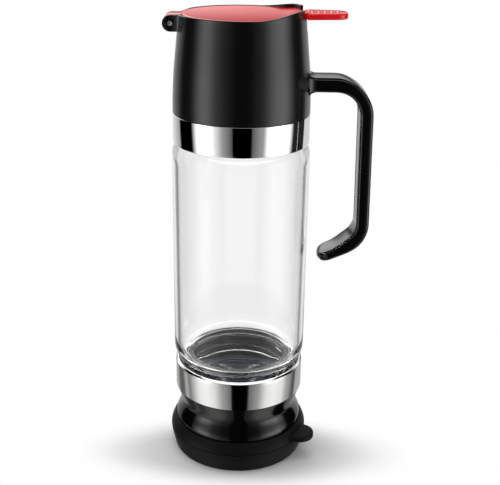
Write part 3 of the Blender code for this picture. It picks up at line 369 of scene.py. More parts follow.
def makeWorld():
    values = studioValues
    world = bpy.data.worlds.new("studioWorld")
    bpy.context.scene.world = world
    world.use_nodes = True
    world.cycles.sampling_method = "NONE"
    tree = world.node_tree
    tree.nodes.clear()
    add, calc, between = [partial(tool, tree) for tool in (addNode, mathNode, softStep)]

    def blend(share, first, second):
        return add("Mix", {"Factor": share, "A": first, "B": second},
                   data_type="FLOAT").outputs["Result"]

    def screen(label, value):
        grey = greyRamp(tree, values[label], value, values["screenPeak"])
        return calc("MULTIPLY", grey, values["screenPeak"])

    direction = add("TexCoord").outputs["Generated"]
    across, back, up = add("SeparateXYZ", {0: direction}).outputs
    angle = calc("DEGREES", calc("ARCTAN2", across, calc("MULTIPLY", back, -1)))
    walls = blend(between(up, values["lowToLevel"]), screen("lowScreens", angle),
                  screen("levelScreens", angle))
    fade = blend(between(up, values["wallLimits"]), 1, values["highWalls"])
    walls = calc("MULTIPLY", walls, fade)
    glow = calc("MULTIPLY", between(across, values["leftLimits"]), values["leftGlow"])
    sky = calc("MULTIPLY", screen("sky", up), calc("ADD", 1, glow))
    behind = calc("MULTIPLY", between(back, values["skyBack"]), between(up, values["skyFoot"]))
    allRound = blend(between(up, values["wallTop"]), blend(behind, walls, sky), 0)
    top = calc("MULTIPLY", between(up, values["topFoot"]), between(up, values["topEnd"]))
    top = calc("MULTIPLY", between(back, values["topFront"]), top)
    screens = blend(top, allRound, values["topScreen"])

    rays = add("LightPath").outputs
    bounced = calc("GREATER_THAN", rays["Glossy Depth"], 0.5)
    mirrored = calc("MULTIPLY", bounced, calc("SUBTRACT", 1, rays["Is Diffuse Ray"]))
    straight = calc("MAXIMUM", rays["Is Camera Ray"], rays["Is Transmission Ray"])
    seen = asSeen(tree, direction)
    aside = calc("ABSOLUTE", seen["X"])
    edge = calc("MULTIPLY", between(aside, values["edgeLimits"]),
                calc("SUBTRACT", 1, rays["Is Camera Ray"]))
    bent = blend(edge, values["whiteBehind"], values["edgeLevel"])
    light = blend(straight, values["ambient"], bent)
    inGlass = calc("GREATER_THAN", rays["Transmission Depth"], 0.5)
    even = calc("MULTIPLY", screen("roomInGlass", up), values["glint"])
    room = blend(between(aside, values["glassSides"]), even, values["sidesInGlass"])
    onward = calc("MULTIPLY", between(calc("ABSOLUTE", seen["Z"]), values["onwardAhead"]),
                  between(up, values["onwardDown"]))
    room = blend(onward, room, bent)
    strength = blend(mirrored, light, blend(inGlass, screens, room))
    background = add("Background", {"Strength": strength, "Color": (1, 1, 1, 1)})
    add("OutputWorld", {"Surface": background.outputs[0]})
    print("studio world ready")


def makeFloor():
    values = studioValues
    deselectAll()
    bpy.ops.mesh.primitive_plane_add(size=mm(values["floorSize"]), location=(0, 0, 0))
    floor = bpy.context.object
    floor.name = "studioFloor"
    material = bpy.data.materials.new("studioFloor")
    material.use_nodes = True
    tree = material.node_tree
    tree.nodes.clear()
    add, calc, between = [partial(tool, tree) for tool in (addNode, mathNode, softStep)]

    centre = [mm(v) for v in (*values["paintedShadowCentre"], 0)]
    reach = [mm(v) for v in (*values["paintedShadowReach"], 1000)]
    place = add("TexCoord").outputs["Object"]
    centred = add("VectorMath", {0: place, 1: centre}, operation="SUBTRACT")
    shares = add("VectorMath", {0: centred.outputs[0], 1: reach}, operation="DIVIDE")
    away = add("VectorMath", {0: shares.outputs[0]}, operation="LENGTH").outputs["Value"]
    # the floor's colour carries the painted oval shadow; the white share then lifts the floor to
    # plain white away from it
    colour = greyRamp(tree, values["paintedShadowOnFloor"], away)
    white = greyRamp(tree, values["floorWhite"], away)
    paper = add("BsdfDiffuse", {"Color": colour})
    rays = add("LightPath").outputs
    aside = calc("ABSOLUTE", asSeen(tree, add("NewGeometry").outputs["Incoming"])["X"])
    dimming = calc("MULTIPLY", between(aside, values["edgeLimits"]), values["edgeLevel"] - 1)
    glow = calc("MULTIPLY_ADD", dimming, rays["Is Transmission Ray"], 1)
    shine = add("Emission", {"Strength": glow})
    seen = calc("MAXIMUM", rays["Is Camera Ray"], rays["Is Transmission Ray"])
    both = add("MixShader", {0: calc("MULTIPLY", seen, white), 1: paper.outputs[0],
                             2: shine.outputs[0]})
    # mirrored rays pass, so the screens below the horizon show in the metal
    mirrored = calc("GREATER_THAN", rays["Glossy Depth"], 0.5)
    mix = add("MixShader", {0: mirrored, 1: both.outputs[0],
                            2: add("BsdfTransparent").outputs[0]})
    add("OutputMaterial", {"Surface": mix.outputs[0]})
    floor.data.materials.append(material)
    print("floor laid")


def makeLamps():
    lamp = studioValues["skyLamp"]
    data = bpy.data.lights.new("skyLamp", "AREA")
    data.shape = "SQUARE"
    data.size = mm(lamp["size"])
    data.energy = lamp["power"]
    skyLamp = bpy.data.objects.new("skyLamp", data)
    bpy.context.scene.collection.objects.link(skyLamp)
    skyLamp.location = [mm(v) for v in lamp["place"]]
    aim = Vector([mm(v) for v in lamp["aim"]]) - skyLamp.location
    skyLamp.rotation_euler = aim.to_track_quat("-Z", "Y").to_euler()
    skyLamp.visible_glossy = False
    print("lamp hung")


# Finishes: two shared effects, then the materials

effectValues = {
    "mottleScale": 38, "grainBump": 0.04,
    "brushScale": (12, 12, 4200), "brushBump": 0.02,
}


def newGroup(name, inputs, outputs):
    group = bpy.data.node_groups.new(name, "ShaderNodeTree")
    for label, kind, default in inputs:
        socket = group.interface.new_socket(label, in_out="INPUT", socket_type="NodeSocket" + kind)
        socket.default_value = default
    for label, kind in outputs:
        group.interface.new_socket(label, in_out="OUTPUT", socket_type="NodeSocket" + kind)
    given, made = group.nodes.new("NodeGroupInput"), group.nodes.new("NodeGroupOutput")
    return group, given.outputs, made.inputs


# Roughness wanders with one noise, the bump comes from another; gives the first one, centred
def wanderAndBump(group, given, made, wander, relief, height):
    centred = mathNode(group, "SUBTRACT", wander, 0.5)
    rough = mathNode(group, "MULTIPLY_ADD", centred, given["Spread"], given["Roughness"])
    bump = addNode(group, "Bump", {"Distance": mm(height), "Strength": given["Depth"],
                                   "Height": relief})
    group.links.new(rough, made["Roughness"])
    group.links.new(bump.outputs["Normal"], made["Normal"])
    return centred


# Fine grain of moulded plastic and rubber, with soft mottling
def makeMouldedGrain():
    group, given, made = newGroup(
        "mouldedGrain",
        [("Scale", "Float", 900.0), ("Roughness", "Float", 0.3), ("Spread", "Float", 0.06),
         ("Depth", "Float", 0.05), ("Colour", "Color", (0.01, 0.01, 0.01, 1)),
         ("Tint", "Float", 0.1)],
        [("Roughness", "Float"), ("Normal", "Vector"), ("Colour", "Color")])
    place = addNode(group, "TexCoord").outputs["Object"]
    fine = addNode(group, "TexNoise", {"Vector": place, "Scale": given["Scale"], "Detail": 2})
    broad = addNode(group, "TexNoise", {"Vector": place, "Scale": effectValues["mottleScale"],
                                        "Detail": 3})
    centred = wanderAndBump(group, given, made, broad.outputs["Fac"], fine.outputs["Fac"],
                            effectValues["grainBump"])
    shade = mathNode(group, "MULTIPLY_ADD", centred, given["Tint"], 1)
    tinted = addNode(group, "VectorMath", {0: given["Colour"], "Scale": shade},
                     operation="SCALE")
    group.links.new(tinted.outputs[0], made["Colour"])
    return group


# Fine lines round a turned steel band: noise that changes mostly with height
def makeBrushLines():
    group, given, made = newGroup(
        "brushLines",
        [("Roughness", "Float", 0.2), ("Spread", "Float", 0.1), ("Depth", "Float", 0.1)],
        [("Roughness", "Float"), ("Normal", "Vector"), ("Mask", "Float")])
    squeeze = addNode(group, "Mapping", {"Vector": addNode(group, "TexCoord").outputs["Object"],
                                         "Scale": effectValues["brushScale"]})
    noise = addNode(group, "TexNoise", {"Vector": squeeze.outputs[0], "Scale": 1, "Detail": 4})
    lines = noise.outputs["Fac"]
    wanderAndBump(group, given, made, lines, lines, effectValues["brushBump"])
    group.links.new(lines, made["Mask"])
    return group


mouldedGrain = makeMouldedGrain()
brushLines = makeBrushLines()


def newMaterial(name, **sockets):
    material = bpy.data.materials.new(name)
    material.use_nodes = True
    shader = material.node_tree.nodes["Principled BSDF"]
    for label, value in sockets.items():
        shader.inputs[label.replace("_", " ")].default_value = value
    return material, shader


def grainedMaterial(name, values):
    material, shader = newMaterial(name, **values.get("sockets", {}))
    tree = material.node_tree
    inputs = {label.title(): values[label]
              for label in ("scale", "roughness", "spread", "depth", "tint")}
    inputs["Colour"] = (*values["colour"], 1)
    grain = addNode(tree, "Group", inputs, node_tree=mouldedGrain)
    tree.links.new(grain.outputs["Roughness"], shader.inputs["Roughness"])
    tree.links.new(grain.outputs["Normal"], shader.inputs["Normal"])
    tree.links.new(grain.outputs["Colour"], shader.inputs["Base Color"])
    return material


def steelMaterial(name, values):
    material, shader = newMaterial(name, Metallic=1.0)
    tree = material.node_tree
    inputs = {label.title(): values[label] for label in ("roughness", "spread", "depth")}
    lines = addNode(tree, "Group", inputs, node_tree=brushLines)
    tones = {"Factor": lines.outputs["Mask"], "A": (*values["dark"], 1),
             "B": (*values["light"], 1)}
    tone = addNode(tree, "Mix", tones, data_type="RGBA")
    tree.links.new(lines.outputs["Roughness"], shader.inputs["Roughness"])
    tree.links.new(lines.outputs["Normal"], shader.inputs["Normal"])
    tree.links.new(tone.outputs["Result"], shader.inputs["Base Color"])
    return material


# Clear glass with slight waves; shadow rays pass straight through
def glassMaterial(name, values):
    material, shader = newMaterial(
        name, Base_Color=(*values["colour"], 1), IOR=values["ior"], Transmission_Weight=1.0)
    tree = material.node_tree
    place = addNode(tree, "TexCoord").outputs["Object"]
    noise = addNode(tree, "TexNoise", {"Vector": place, "Scale": values["waveScale"],
                                       "Detail": 1})
    waves = noise.outputs["Fac"]
    bump = addNode(tree, "Bump", {"Strength": values["waveDepth"], "Distance": mm(1),
                                  "Height": waves})
    haze = mathNode(tree, "MULTIPLY", waves, values["roughness"])
    tree.links.new(bump.outputs["Normal"], shader.inputs["Normal"])
    tree.links.new(haze, shader.inputs["Roughness"])
    clear = addNode(tree, "BsdfTransparent", {"Color": (*values["shadow"], 1)})
    shadowed = addNode(tree, "LightPath").outputs["Is Shadow Ray"]
    mix = addNode(tree, "MixShader", {0: shadowed, 1: shader.outputs[0], 2: clear.outputs[0]})
    tree.links.new(mix.outputs[0], tree.nodes["Material Output"].inputs["Surface"])
    return material


mouldedFinishes = {
    "satinBlack": {"scale": 2600, "roughness": 0.23, "spread": 0.04, "depth": 0.05,
                   "colour": (0.003, 0.003, 0.0032), "tint": 0.4},
    "handleBlack": {"scale": 2400, "roughness": 0.13, "spread": 0.03, "depth": 0.04,
                    "colour": (0.003, 0.003, 0.0032), "tint": 0.4},
    "glossBlack": {"scale": 1500, "roughness": 0.09, "spread": 0.03, "depth": 0.02,
                   "colour": (0.002, 0.002, 0.0022), "tint": 0.4},
    "softRubber": {"scale": 1900, "roughness": 0.50, "spread": 0.08, "depth": 0.30,
                   "colour": (0.0042, 0.0042, 0.0045), "tint": 0.5,
                   "sockets": {"Specular_IOR_Level": 0.12}},
    "redGloss": {"scale": 700, "roughness": 0.17, "spread": 0.03, "depth": 0.006,
                 "colour": (0.69, 0.0015, 0.006), "tint": 0.05},
    "darkInsert": {"scale": 1500, "roughness": 0.14, "spread": 0.04, "depth": 0.03,
                   "colour": (0.050, 0.060, 0.078), "tint": 0.3},
    "silicone": {"scale": 1400, "roughness": 0.42, "spread": 0.08, "depth": 0.1,
                 "colour": (0.70, 0.72, 0.73), "tint": 0.1},
}

steelFinishes = {
    "mirrorSteel": {"roughness": 0.035, "spread": 0.02, "depth": 0.01,
                    "dark": (0.90, 0.90, 0.89), "light": (0.95, 0.95, 0.94)},
    "brushedSteel": {"roughness": 0.085, "spread": 0.06, "depth": 0.05,
                     "dark": (0.84, 0.84, 0.825), "light": (0.92, 0.92, 0.905)},
    "plainSteel": {"roughness": 0.30, "spread": 0.10, "depth": 0.05,
                   "dark": (0.55, 0.55, 0.55), "light": (0.66, 0.66, 0.66)},
    "pinSteel": {"roughness": 0.55, "spread": 0.10, "depth": 0.05,
                 "dark": (0.46, 0.46, 0.46), "light": (0.56, 0.56, 0.56)},
}

glassFinish = {"colour": (0.966, 0.968, 0.966), "roughness": 0.004, "ior": 1.47,
               "waveScale": 22, "waveDepth": 0.012, "shadow": (0.92, 0.93, 0.93)}

materials = {name: grainedMaterial(name, values) for name, values in mouldedFinishes.items()}
for name, values in steelFinishes.items():
    materials[name] = steelMaterial(name, values)
materials["clearGlass"] = glassMaterial("clearGlass", glassFinish)
print("finishes mixed")


# Material, body and the CAD nodes that the piece stands for
def finishPiece(piece, body, finish, replaced):
    piece.data.materials.clear()
    piece.data.materials.append(materials[finish])
    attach(piece, body)
    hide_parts(*replaced)


# Foot cap

footCapValues = {
    "foot": [(30, 0), (35.9, 0, 1.1), (36.2, 1.6)],
    "belly": [(36.2, 1.6), (36.75, 4.0), (37.6, 7.6), (38.1, 10.9)],
    "seam": [(37.75, 11.02), (37.75, 11.18)],
    "aboveSeam": [(38.1, 11.3), (37.85, 12.9), (37.0, 15.1), (36.0, 16.9)],
    "lipOutside": [(36.0, 16.9), (35.75, 17.4, 0.4), (34.0, 17.4)],
    "lipInside": [(35.0, 17.4), (33.5, 17.4, 0.5), (33.5, 15.0)],
    "inside": [(33.5, 3.0), (7.2, 3.0)],
    "plug": [(7.2, 5.0), (7.2, 16.0, 0.8), (5.0, 16.0)],
    "plugInside": [(5.0, 16.0), (5.0, 3.0), (0, 3.0)],
    "tab": {"side": 17.3, "half": 7.7, "end": 34.6, "low": 11.6, "high": 14.6, "root": 34.6,
            "edge": 0.9},
}


def makeFootCap():
    values = footCapValues
    outline = [(0, 0)] + roundCorners(values["foot"])[1:-1]
    outline += smoothRun(values["belly"]) + values["seam"] + smoothRun(values["aboveSeam"])
    outline += roundCorners(values["lipOutside"])[1:-1]
    outline += roundCorners(values["lipInside"])[1:-1] + values["inside"]
    outline += roundCorners(values["plug"])[1:-1] + values["plugInside"]
    cap = turnedPiece("footCap", outline, steps=144)

    tab = values["tab"]
    near, far = -tab["side"] - tab["half"], -tab["side"] + tab["half"]
    startAngle = math.degrees(math.asin(far / tab["root"]))
    endAngle = math.degrees(math.asin(near / tab["root"]))
    plan = arcPoints((0, 0), tab["root"], startAngle, endAngle, 12)
    plan += arcPoints((tab["end"], -tab["side"]), tab["half"], -90, 90, 28)
    tongue = slabPiece("footCapTab", plan, "z", tab["low"], tab["high"])
    combine(cap, softenEdges(tongue, tab["edge"], segments=4), "UNION")
    smoothShade(cap, angle=40)
    finishPiece(cap, "foot", "softRubber", ["base_cap"])
    print("foot cap done")


# Base collar with its threaded sleeve

collarValues = {
    "skirtFoot": [(30.3, 3.3), (32.4, 3.3, 0.5), (33.2, 4.1, 0.6), (33.2, 17.7)],
    "lip": [(33.2, 17.7), (34.9, 17.7, 0.5), (34.9, 19.2)],
    "waist": [(34.9, 19.2), (34.72, 20.2), (34.35, 21.2), (33.72, 22.6), (32.9, 24.3),
              (32.2, 26.2), (32.0, 27.9), (32.28, 29.6), (33.0, 32.0), (33.9, 34.8),
              (34.6, 37.1)],
    "sleeve": [(34.6, 37.1, 0.15), (33.8, 37.1), (33.8, 50.9, 0.6), (29.4, 50.9, 0.5),
               (29.4, 38.2), (21.0, 38.2, 0.4), (21.0, 35.4, 0.4), (29.1, 35.4),
               (29.1, 20.8), (30.3, 17.7)],
    "threadRoot": 29.4, "threadMiddle": 47.2,
}


# All threads are alike, and each runs out softly at both ends
threadValues = {"pitch": 5.08, "turns": 1.15, "height": 1.1, "base": 2.0, "crest": 0.9,
                "crestRound": 0.35, "sink": 0.4, "steps": 110, "runOut": 0.09}


# A right-handed ridge that stands out from its root (way 1) or in (way -1)
def threadPiece(name, root, way, middle):
    values = threadValues
    turns, pitch, sink = values["turns"], values["pitch"], values["sink"]
    low = middle - pitch * turns / 2
    foot, crest = values["base"] / 2, values["crest"] / 2
    inner, outer = root - way * sink, root + way * values["height"]
    section = roundCorners([(inner, -foot), (outer, -crest, values["crestRound"]),
                            (outer, crest, values["crestRound"]), (inner, foot)], 3)
    places = [(mm(r), 0, mm(low + z)) for r, z in section]
    piece = startVertex(name, places[0])
    drawOutline(piece, places)
    screwUp(piece, 2 * math.pi * turns, pitch * turns, values["steps"])
    mesh = bmesh.from_edit_mesh(piece.data)
    for vertex in mesh.verts:
        around = math.atan2(vertex.co.y, vertex.co.x) / (2 * math.pi) % 1
        options = [around + whole for whole in (-1, 0, 1, 2)]
        turn = min(options, key=lambda t: abs(low + pitch * t - vertex.co.z * 1000))
        run = max(0.0, min(1.0, min(turn, turns - turn) / values["runOut"]))
        radius = math.hypot(vertex.co.x, vertex.co.y) * 1000
        proud = (radius - root) * way
        if proud > 0:
            wanted = root + way * (proud * run - sink * 0.5 * (1 - run))
            vertex.co.x *= wanted / radius
            vertex.co.y *= wanted / radius
    bmesh.update_edit_mesh(piece.data)
    leaveEdit()
    return piece


def makeCollar():
    values = collarValues
    outline = roundCorners(values["skirtFoot"])[:-1]
    outline += roundCorners(values["lip"])[:-1]
    outline += smoothRun(values["waist"])[:-1]
    outline += roundCorners(values["sleeve"], segments=4)
    collar = turnedPiece("baseCollar", outline, steps=160)
    ridge = threadPiece("collarThread", values["threadRoot"], -1, values["threadMiddle"])
    combine(collar, ridge, "UNION")
    smoothShade(collar, angle=40)
    finishPiece(collar, "base", "glossBlack", ["base_collar"])
    print("collar done")


# Metal bands

bandValues = {
    "lower": [(34.1, 37.4), (35.0, 37.4, 0.2), (35.0, 52.9, 0.35), (34.0, 53.9, 0.45),
              (33.2, 53.55, 0.2), (33.2, 53.0, 0.2), (34.1, 53.0)],
    "upper": [(34.1, 176.7, 0.2), (35.0, 176.7, 0.35), (35.0, 191.8, 0.2), (34.1, 191.8)],
}


def makeBands():
    lower = turnedPiece("lowerBand", roundCorners(bandValues["lower"]), steps=192)
    smoothShade(lower)
    finishPiece(lower, "base", "brushedSteel", ["lower_band"])
    upper = turnedPiece("upperBand", roundCorners(bandValues["upper"]), steps=192)
    smoothShade(upper)
    finishPiece(upper, "head", "mirrorSteel", ["upper_band"])
    print("bands done")


# Outlet funnel under the glass

funnelValues = {
    "outline": [(7.5, 6.0, 0.4), (9.3, 6.0, 0.4), (9.3, 26.6, 3.0), (20.7, 36.9, 0.6),
                (20.7, 38.5), (28.0, 38.5, 0.3), (28.0, 40.0, 0.3), (20.2, 40.0, 0.35),
                (19.9, 38.7, 0.25), (18.0, 38.7, 0.35), (17.6, 36.6, 0.6),
                (7.5, 26.6, 3.0)],
}


def makeFunnel():
    funnel = turnedPiece("outletFunnel", roundCorners(funnelValues["outline"], segments=6))
    smoothShade(funnel)
    finishPiece(funnel, "base", "darkInsert", ["outlet_funnel"])
    print("funnel done")


# Glass body

glassValues = {
    "bottom": 42.2, "top": 190.8, "wall": 35.6, "thick": 2.8, "neck": 27.9, "neckIn": 25.6,
    "neckLength": 12.4, "shoulder": 11.4, "power": 3.0, "mouth": 0.45, "threadMiddle": 5.92,
    # the inner shoulder is rounder and a little nearer the bottle's middle
    "innerPower": 2.3, "innerStart": 1.2, "innerEnd": 1.0,
    "steps": 18,
}


def glassShoulder(lowRadius, highRadius, lowZ, highZ, power):
    points = []
    for step in range(glassValues["steps"] + 1):
        angle = math.pi / 2 * step / glassValues["steps"]
        points.append((lowRadius + (highRadius - lowRadius) * math.sin(angle) ** (2 / power),
                       highZ - (highZ - lowZ) * math.cos(angle) ** (2 / power)))
    return points


def makeGlass():
    values = glassValues
    bottom, top, mouth = values["bottom"], values["top"], values["mouth"]
    neck, neckIn = values["neck"], values["neckIn"]
    neckZ = bottom + values["neckLength"]
    wallZ = neckZ + values["shoulder"]
    outside = roundCorners([(neckIn + 1, bottom), (neck, bottom, mouth), (neck, bottom + 3)])[1:-1]
    outside += glassShoulder(neck, values["wall"], neckZ, wallZ, values["power"])
    inside = roundCorners([(neck - 1, bottom), (neckIn, bottom, mouth), (neckIn, bottom + 3)])[1:-1]
    inside += glassShoulder(neckIn, values["wall"] - values["thick"], neckZ + values["innerStart"],
                            wallZ + values["innerEnd"], values["innerPower"])
    # the upper half mirrors the lower one
    flip = bottom + top
    outline = outside + [(r, flip - z) for r, z in reversed(outside)]
    outline += list(reversed(inside + [(r, flip - z) for r, z in reversed(inside)]))
    glass = turnedPiece("glassBody", outline, steps=192)
    for name, middle in (("lowerThread", bottom + values["threadMiddle"]),
                         ("upperThread", top - values["threadMiddle"])):
        combine(glass, threadPiece(name, neck, 1, middle), "UNION")
    smoothShade(glass, angle=40)
    finishPiece(glass, "bottle", "clearGlass", ["glass_body"])
    print("glass done")


# Head shell: tapered barrel, raised rim beside the slot, hinge ears

headValues = {
    "barrel": [(35.0, 192.1), (34.94, 198.9), (34.55, 207.7), (34.07, 214.6), (33.4, 221.4),
               (32.66, 228.8), (32.02, 236.1), (31.8, 239.0), (31.8, 240.2)],
    "rim": [(31.8, 240.2), (31.8, 241.0, 0.45), (30.4, 241.0, 0.45), (30.4, 239.0)],
    "inner": [(30.4, 239.0), (30.4, 229.0), (28.0, 229.0, 0.3), (28.0, 227.0), (29.9, 224.6),
              (31.6, 214.0), (32.35, 203.3), (25.1, 203.3), (25.1, 201.3), (32.4, 201.3),
              (32.6, 192.1)],
    # the rim stands up towards the handle and dips at the hinge, by degrees from the handle;
    # between foot and full the wall follows it more and more
    "lift": {"start": 76, "peak": 25, "rise": 2.88, "drop": 1.2, "hingeStart": 146,
             "hingeEnd": 165, "hingeDip": 0.55, "foot": 232.0, "full": 240.2},
    "pin": (-35.1, 236.35), "pinHole": 1.4,
    "earRadius": 4.0, "earInner": 5.0, "earOuter": 7.7, "earRoot": -30.0, "earEdge": 0.25,
    # from where the ear meets the wall: along x, and out from the ear's face
    "fillet": [(1.2, -0.4), (-1.2, -0.4), (-1.2, 0), (0.4, 1.1), (1.2, 1.1)],
    "wallRadius": 31.75, "filletTrim": (0.15, 0.2),
    # cuts in the rim: half width, low, high, from and to along x, width of the soft edge
    "cuts": {"slot": (5.0, 232.3, 246, 28.4, 34, 0.5),
             "saddle": (10.1, 238.6, 247, 26.2, 35, 0.35),
             "notch": (4.97, 236.4, 243, -33.9, -26.4, 0)},
}


def rimLift(away):
    lift = headValues["lift"]
    if away >= lift["start"]:
        share = (away - lift["hingeStart"]) / (lift["hingeEnd"] - lift["hingeStart"])
        return -lift["hingeDip"] * eased(share)
    if away >= lift["peak"]:
        return lift["rise"] * eased((lift["start"] - away) / (lift["start"] - lift["peak"]))
    return lift["rise"] - lift["drop"] * (1 - away / lift["peak"]) ** 2


# A round bar, longer than the ears are apart, to cut the pin's hole
def pinHole():
    hole = arcPoints(headValues["pin"], headValues["pinHole"], 3, 353, steps=35)
    return slabPiece("pinHole", hole, "y", -10, 10)


def addEar(head, side):
    values = headValues
    pinX, pinZ = values["pin"]
    radius, outer = values["earRadius"], values["earOuter"]
    ear = [(values["earRoot"], pinZ - radius), (values["earRoot"], pinZ + radius)]
    ear += arcPoints((pinX, pinZ), radius, 90, 270, 24)
    earPiece = slabPiece("ear", ear, "y", *sorted((side * values["earInner"], side * outer)))
    combine(head, softenEdges(earPiece, values["earEdge"], segments=2), "UNION")
    wallX = -math.sqrt(values["wallRadius"] ** 2 - outer ** 2)
    corner = [(wallX + along, side * (outer + out)) for along, out in values["fillet"]]
    trimLow, trimHigh = values["filletTrim"]
    filletPiece = slabPiece("earFillet", corner, "z", pinZ - radius + trimLow,
                            pinZ + radius - trimHigh)
    combine(head, filletPiece, "UNION")


def makeHead():
    values = headValues
    outline = smoothRun(values["barrel"], steps=6)[:-1]
    outline += roundCorners(values["rim"])[1:-1]
    outline += roundCorners(values["inner"])
    head = turnedPiece("headShell", outline, steps=240)
    foot, full = values["lift"]["foot"], values["lift"]["full"]
    editing(head)
    mesh = bmesh.from_edit_mesh(head.data)
    for vertex in mesh.verts:
        away = abs(math.degrees(math.atan2(vertex.co.y, vertex.co.x)))
        weight = eased((vertex.co.z * 1000 - foot) / (full - foot))
        vertex.co.z += mm(rimLift(away) * weight)
    bmesh.update_edit_mesh(head.data)
    leaveEdit()
    addEar(head, -1)
    addEar(head, 1)
    for name, (half, low, high, near, far, edge) in values["cuts"].items():
        cut = slabPiece(name, [(-half, low), (half, low), (half, high), (-half, high)],
                        "x", near, far)
        if edge:
            softenEdges(cut, edge)
        combine(head, cut, "DIFFERENCE")
    combine(head, pinHole(), "DIFFERENCE")
    smoothShade(head, angle=38)
    finishPiece(head, "head", "satinBlack", ["head_shell"])
    print("head shell done")


# Hinge pin with a small dimple in each end

pinValues = {"radius": 1.1, "length": 15.8, "edge": 0.08, "dimpleRim": 0.2, "dimpleSlope": 0.35,
             "dimpleDepth": 0.25}


def makePin():
    values = pinValues
    pinX, pinZ = headValues["pin"]
    deselectAll()
    bpy.ops.mesh.primitive_cylinder_add(
        vertices=40, radius=mm(values["radius"]), depth=mm(values["length"]),
        location=(mm(pinX), 0, mm(pinZ)), rotation=(math.pi / 2, 0, 0))
    pin = bpy.context.object
    pin.name = "hingePin"
    bpy.ops.object.transform_apply(location=True, rotation=True, scale=True)
    editing(pin)
    bpy.ops.mesh.select_mode(type="FACE")
    bpy.ops.mesh.select_all(action="DESELECT")
    mesh = bmesh.from_edit_mesh(pin.data)
    for face in mesh.faces:
        face.select_set(abs(face.normal.y) > 0.9)           # the two ends
    bmesh.update_edit_mesh(pin.data)
    bpy.ops.mesh.inset(thickness=mm(values["dimpleRim"]), use_individual=True)
    bpy.ops.mesh.inset(thickness=mm(values["dimpleSlope"]), use_individual=True,
                       depth=mm(-values["dimpleDepth"]))
    leaveEdit()
    softenEdges(pin, values["edge"], segments=2)
    smoothShade(pin)
    finishPiece(pin, "head", "pinSteel", ["hinge_pin"])
    print("hinge pin done")


# Handle: one rounded section swept from the root to the tip

handleValues = {
    "width": 17.6, "corner": 1.5, "crown": 0.55, "armZ": 207.2,
    "rootX": 33.4, "wallX": 34.6, "rootFlare": 2.4, "rootLength": 3.2,
    # thickness from the arm to the tip
    "arm": 7.3, "armBend": 6.5, "grip": 6.8, "curl": 7.3, "tip": 5.2,
    "bendRadius": 16.4, "reach": 64.1, "lean": 0.9, "gripLength": 56.7,
    "curlRadius": 14.0, "curlTurn": 53.0, "tipBend": 50.0, "tipTurn": 14.0, "tipRound": 7.6,
}


# Places along the handle: x, z, heading in degrees, thickness, width
def handleStations():
    values = handleValues
    armZ, width = values["armZ"], values["width"]
    flare = 2 * values["rootFlare"]
    stations = [(values["rootX"] - 1, armZ, 0, values["arm"] + flare, width + flare)]
    for step in range(9):
        along = step / 8                                    # the root narrows to the arm
        wider = flare * (1 - math.sqrt(1 - (1 - along) ** 2))
        stations.append((values["wallX"] + values["rootLength"] * along, armZ, 0,
                         values["arm"] + wider, width + wider))
    x, z, heading, thick = stations[-1][:4]
    turn = 90 - math.degrees(math.atan2(values["lean"], values["gripLength"]))
    bend = values["bendRadius"] * math.radians(turn) / 2
    bendX = values["reach"] - values["lean"] - values["bendRadius"]
    # legs: length, turn, steps, thickness at the end
    legs = [(bendX - x, 0, 2, values["arm"]), (bend, turn / 2, 10, values["armBend"]),
            (bend, turn / 2, 10, values["grip"]), (values["gripLength"], 0, 6, values["grip"]),
            (values["curlRadius"] * math.radians(values["curlTurn"]), values["curlTurn"], 12,
             values["curl"]),
            (values["tipBend"] * math.radians(values["tipTurn"]), values["tipTurn"], 6,
             values["tip"])]
    for length, turn, steps, thickAfter in legs:
        thickBefore = thick
        for step in range(1, steps + 1):
            heading -= turn / steps / 2
            x += length / steps * math.cos(math.radians(heading))
            z += length / steps * math.sin(math.radians(heading))
            heading -= turn / steps / 2
            thick = thickBefore + (thickAfter - thickBefore) * eased(step / steps)
            stations.append((x, z, heading, thick, width))
    # the end closes in a full curve; its last ring stays a little open
    for step in range(1, 15):
        share = math.sin(math.pi / 2 * step / 14.4)
        stations.append((x + values["tipRound"] * share * math.cos(math.radians(heading)),
                         z + values["tipRound"] * share * math.sin(math.radians(heading)),
                         heading, values["tip"] * math.sqrt(1 - share ** 5),
                         width * math.sqrt(1 - share ** 2.4)))
    return stations


# How far the root is drawn back to follow the round wall that it grows out of
def drawBack(x, across):
    wall = handleValues["wallX"]
    atWall = 1 - max(0, min(1, (x - wall) / handleValues["rootLength"]))
    return atWall * (wall - math.sqrt(wall * wall - across * across))


# A rectangle with round corners, each drawn in a little at its outer end
def roundedSection(thick, width):
    # both shrink with the section near the tip
    corner = min(handleValues["corner"], thick * 0.46, width * 0.46)
    crown = min(handleValues["crown"], width * 0.06)
    points = []
    for quarter, (sx, sy) in enumerate(((1, 1), (-1, 1), (-1, -1), (1, -1))):
        points += arcPoints((sx * (thick / 2 - corner), sy * (width / 2 - corner)), corner,
                            90 * quarter, 90 * quarter + 90, 6)
    return [(out, across * (1 - 2 * crown / width * (2 * out / thick) ** 2))
            for out, across in points]


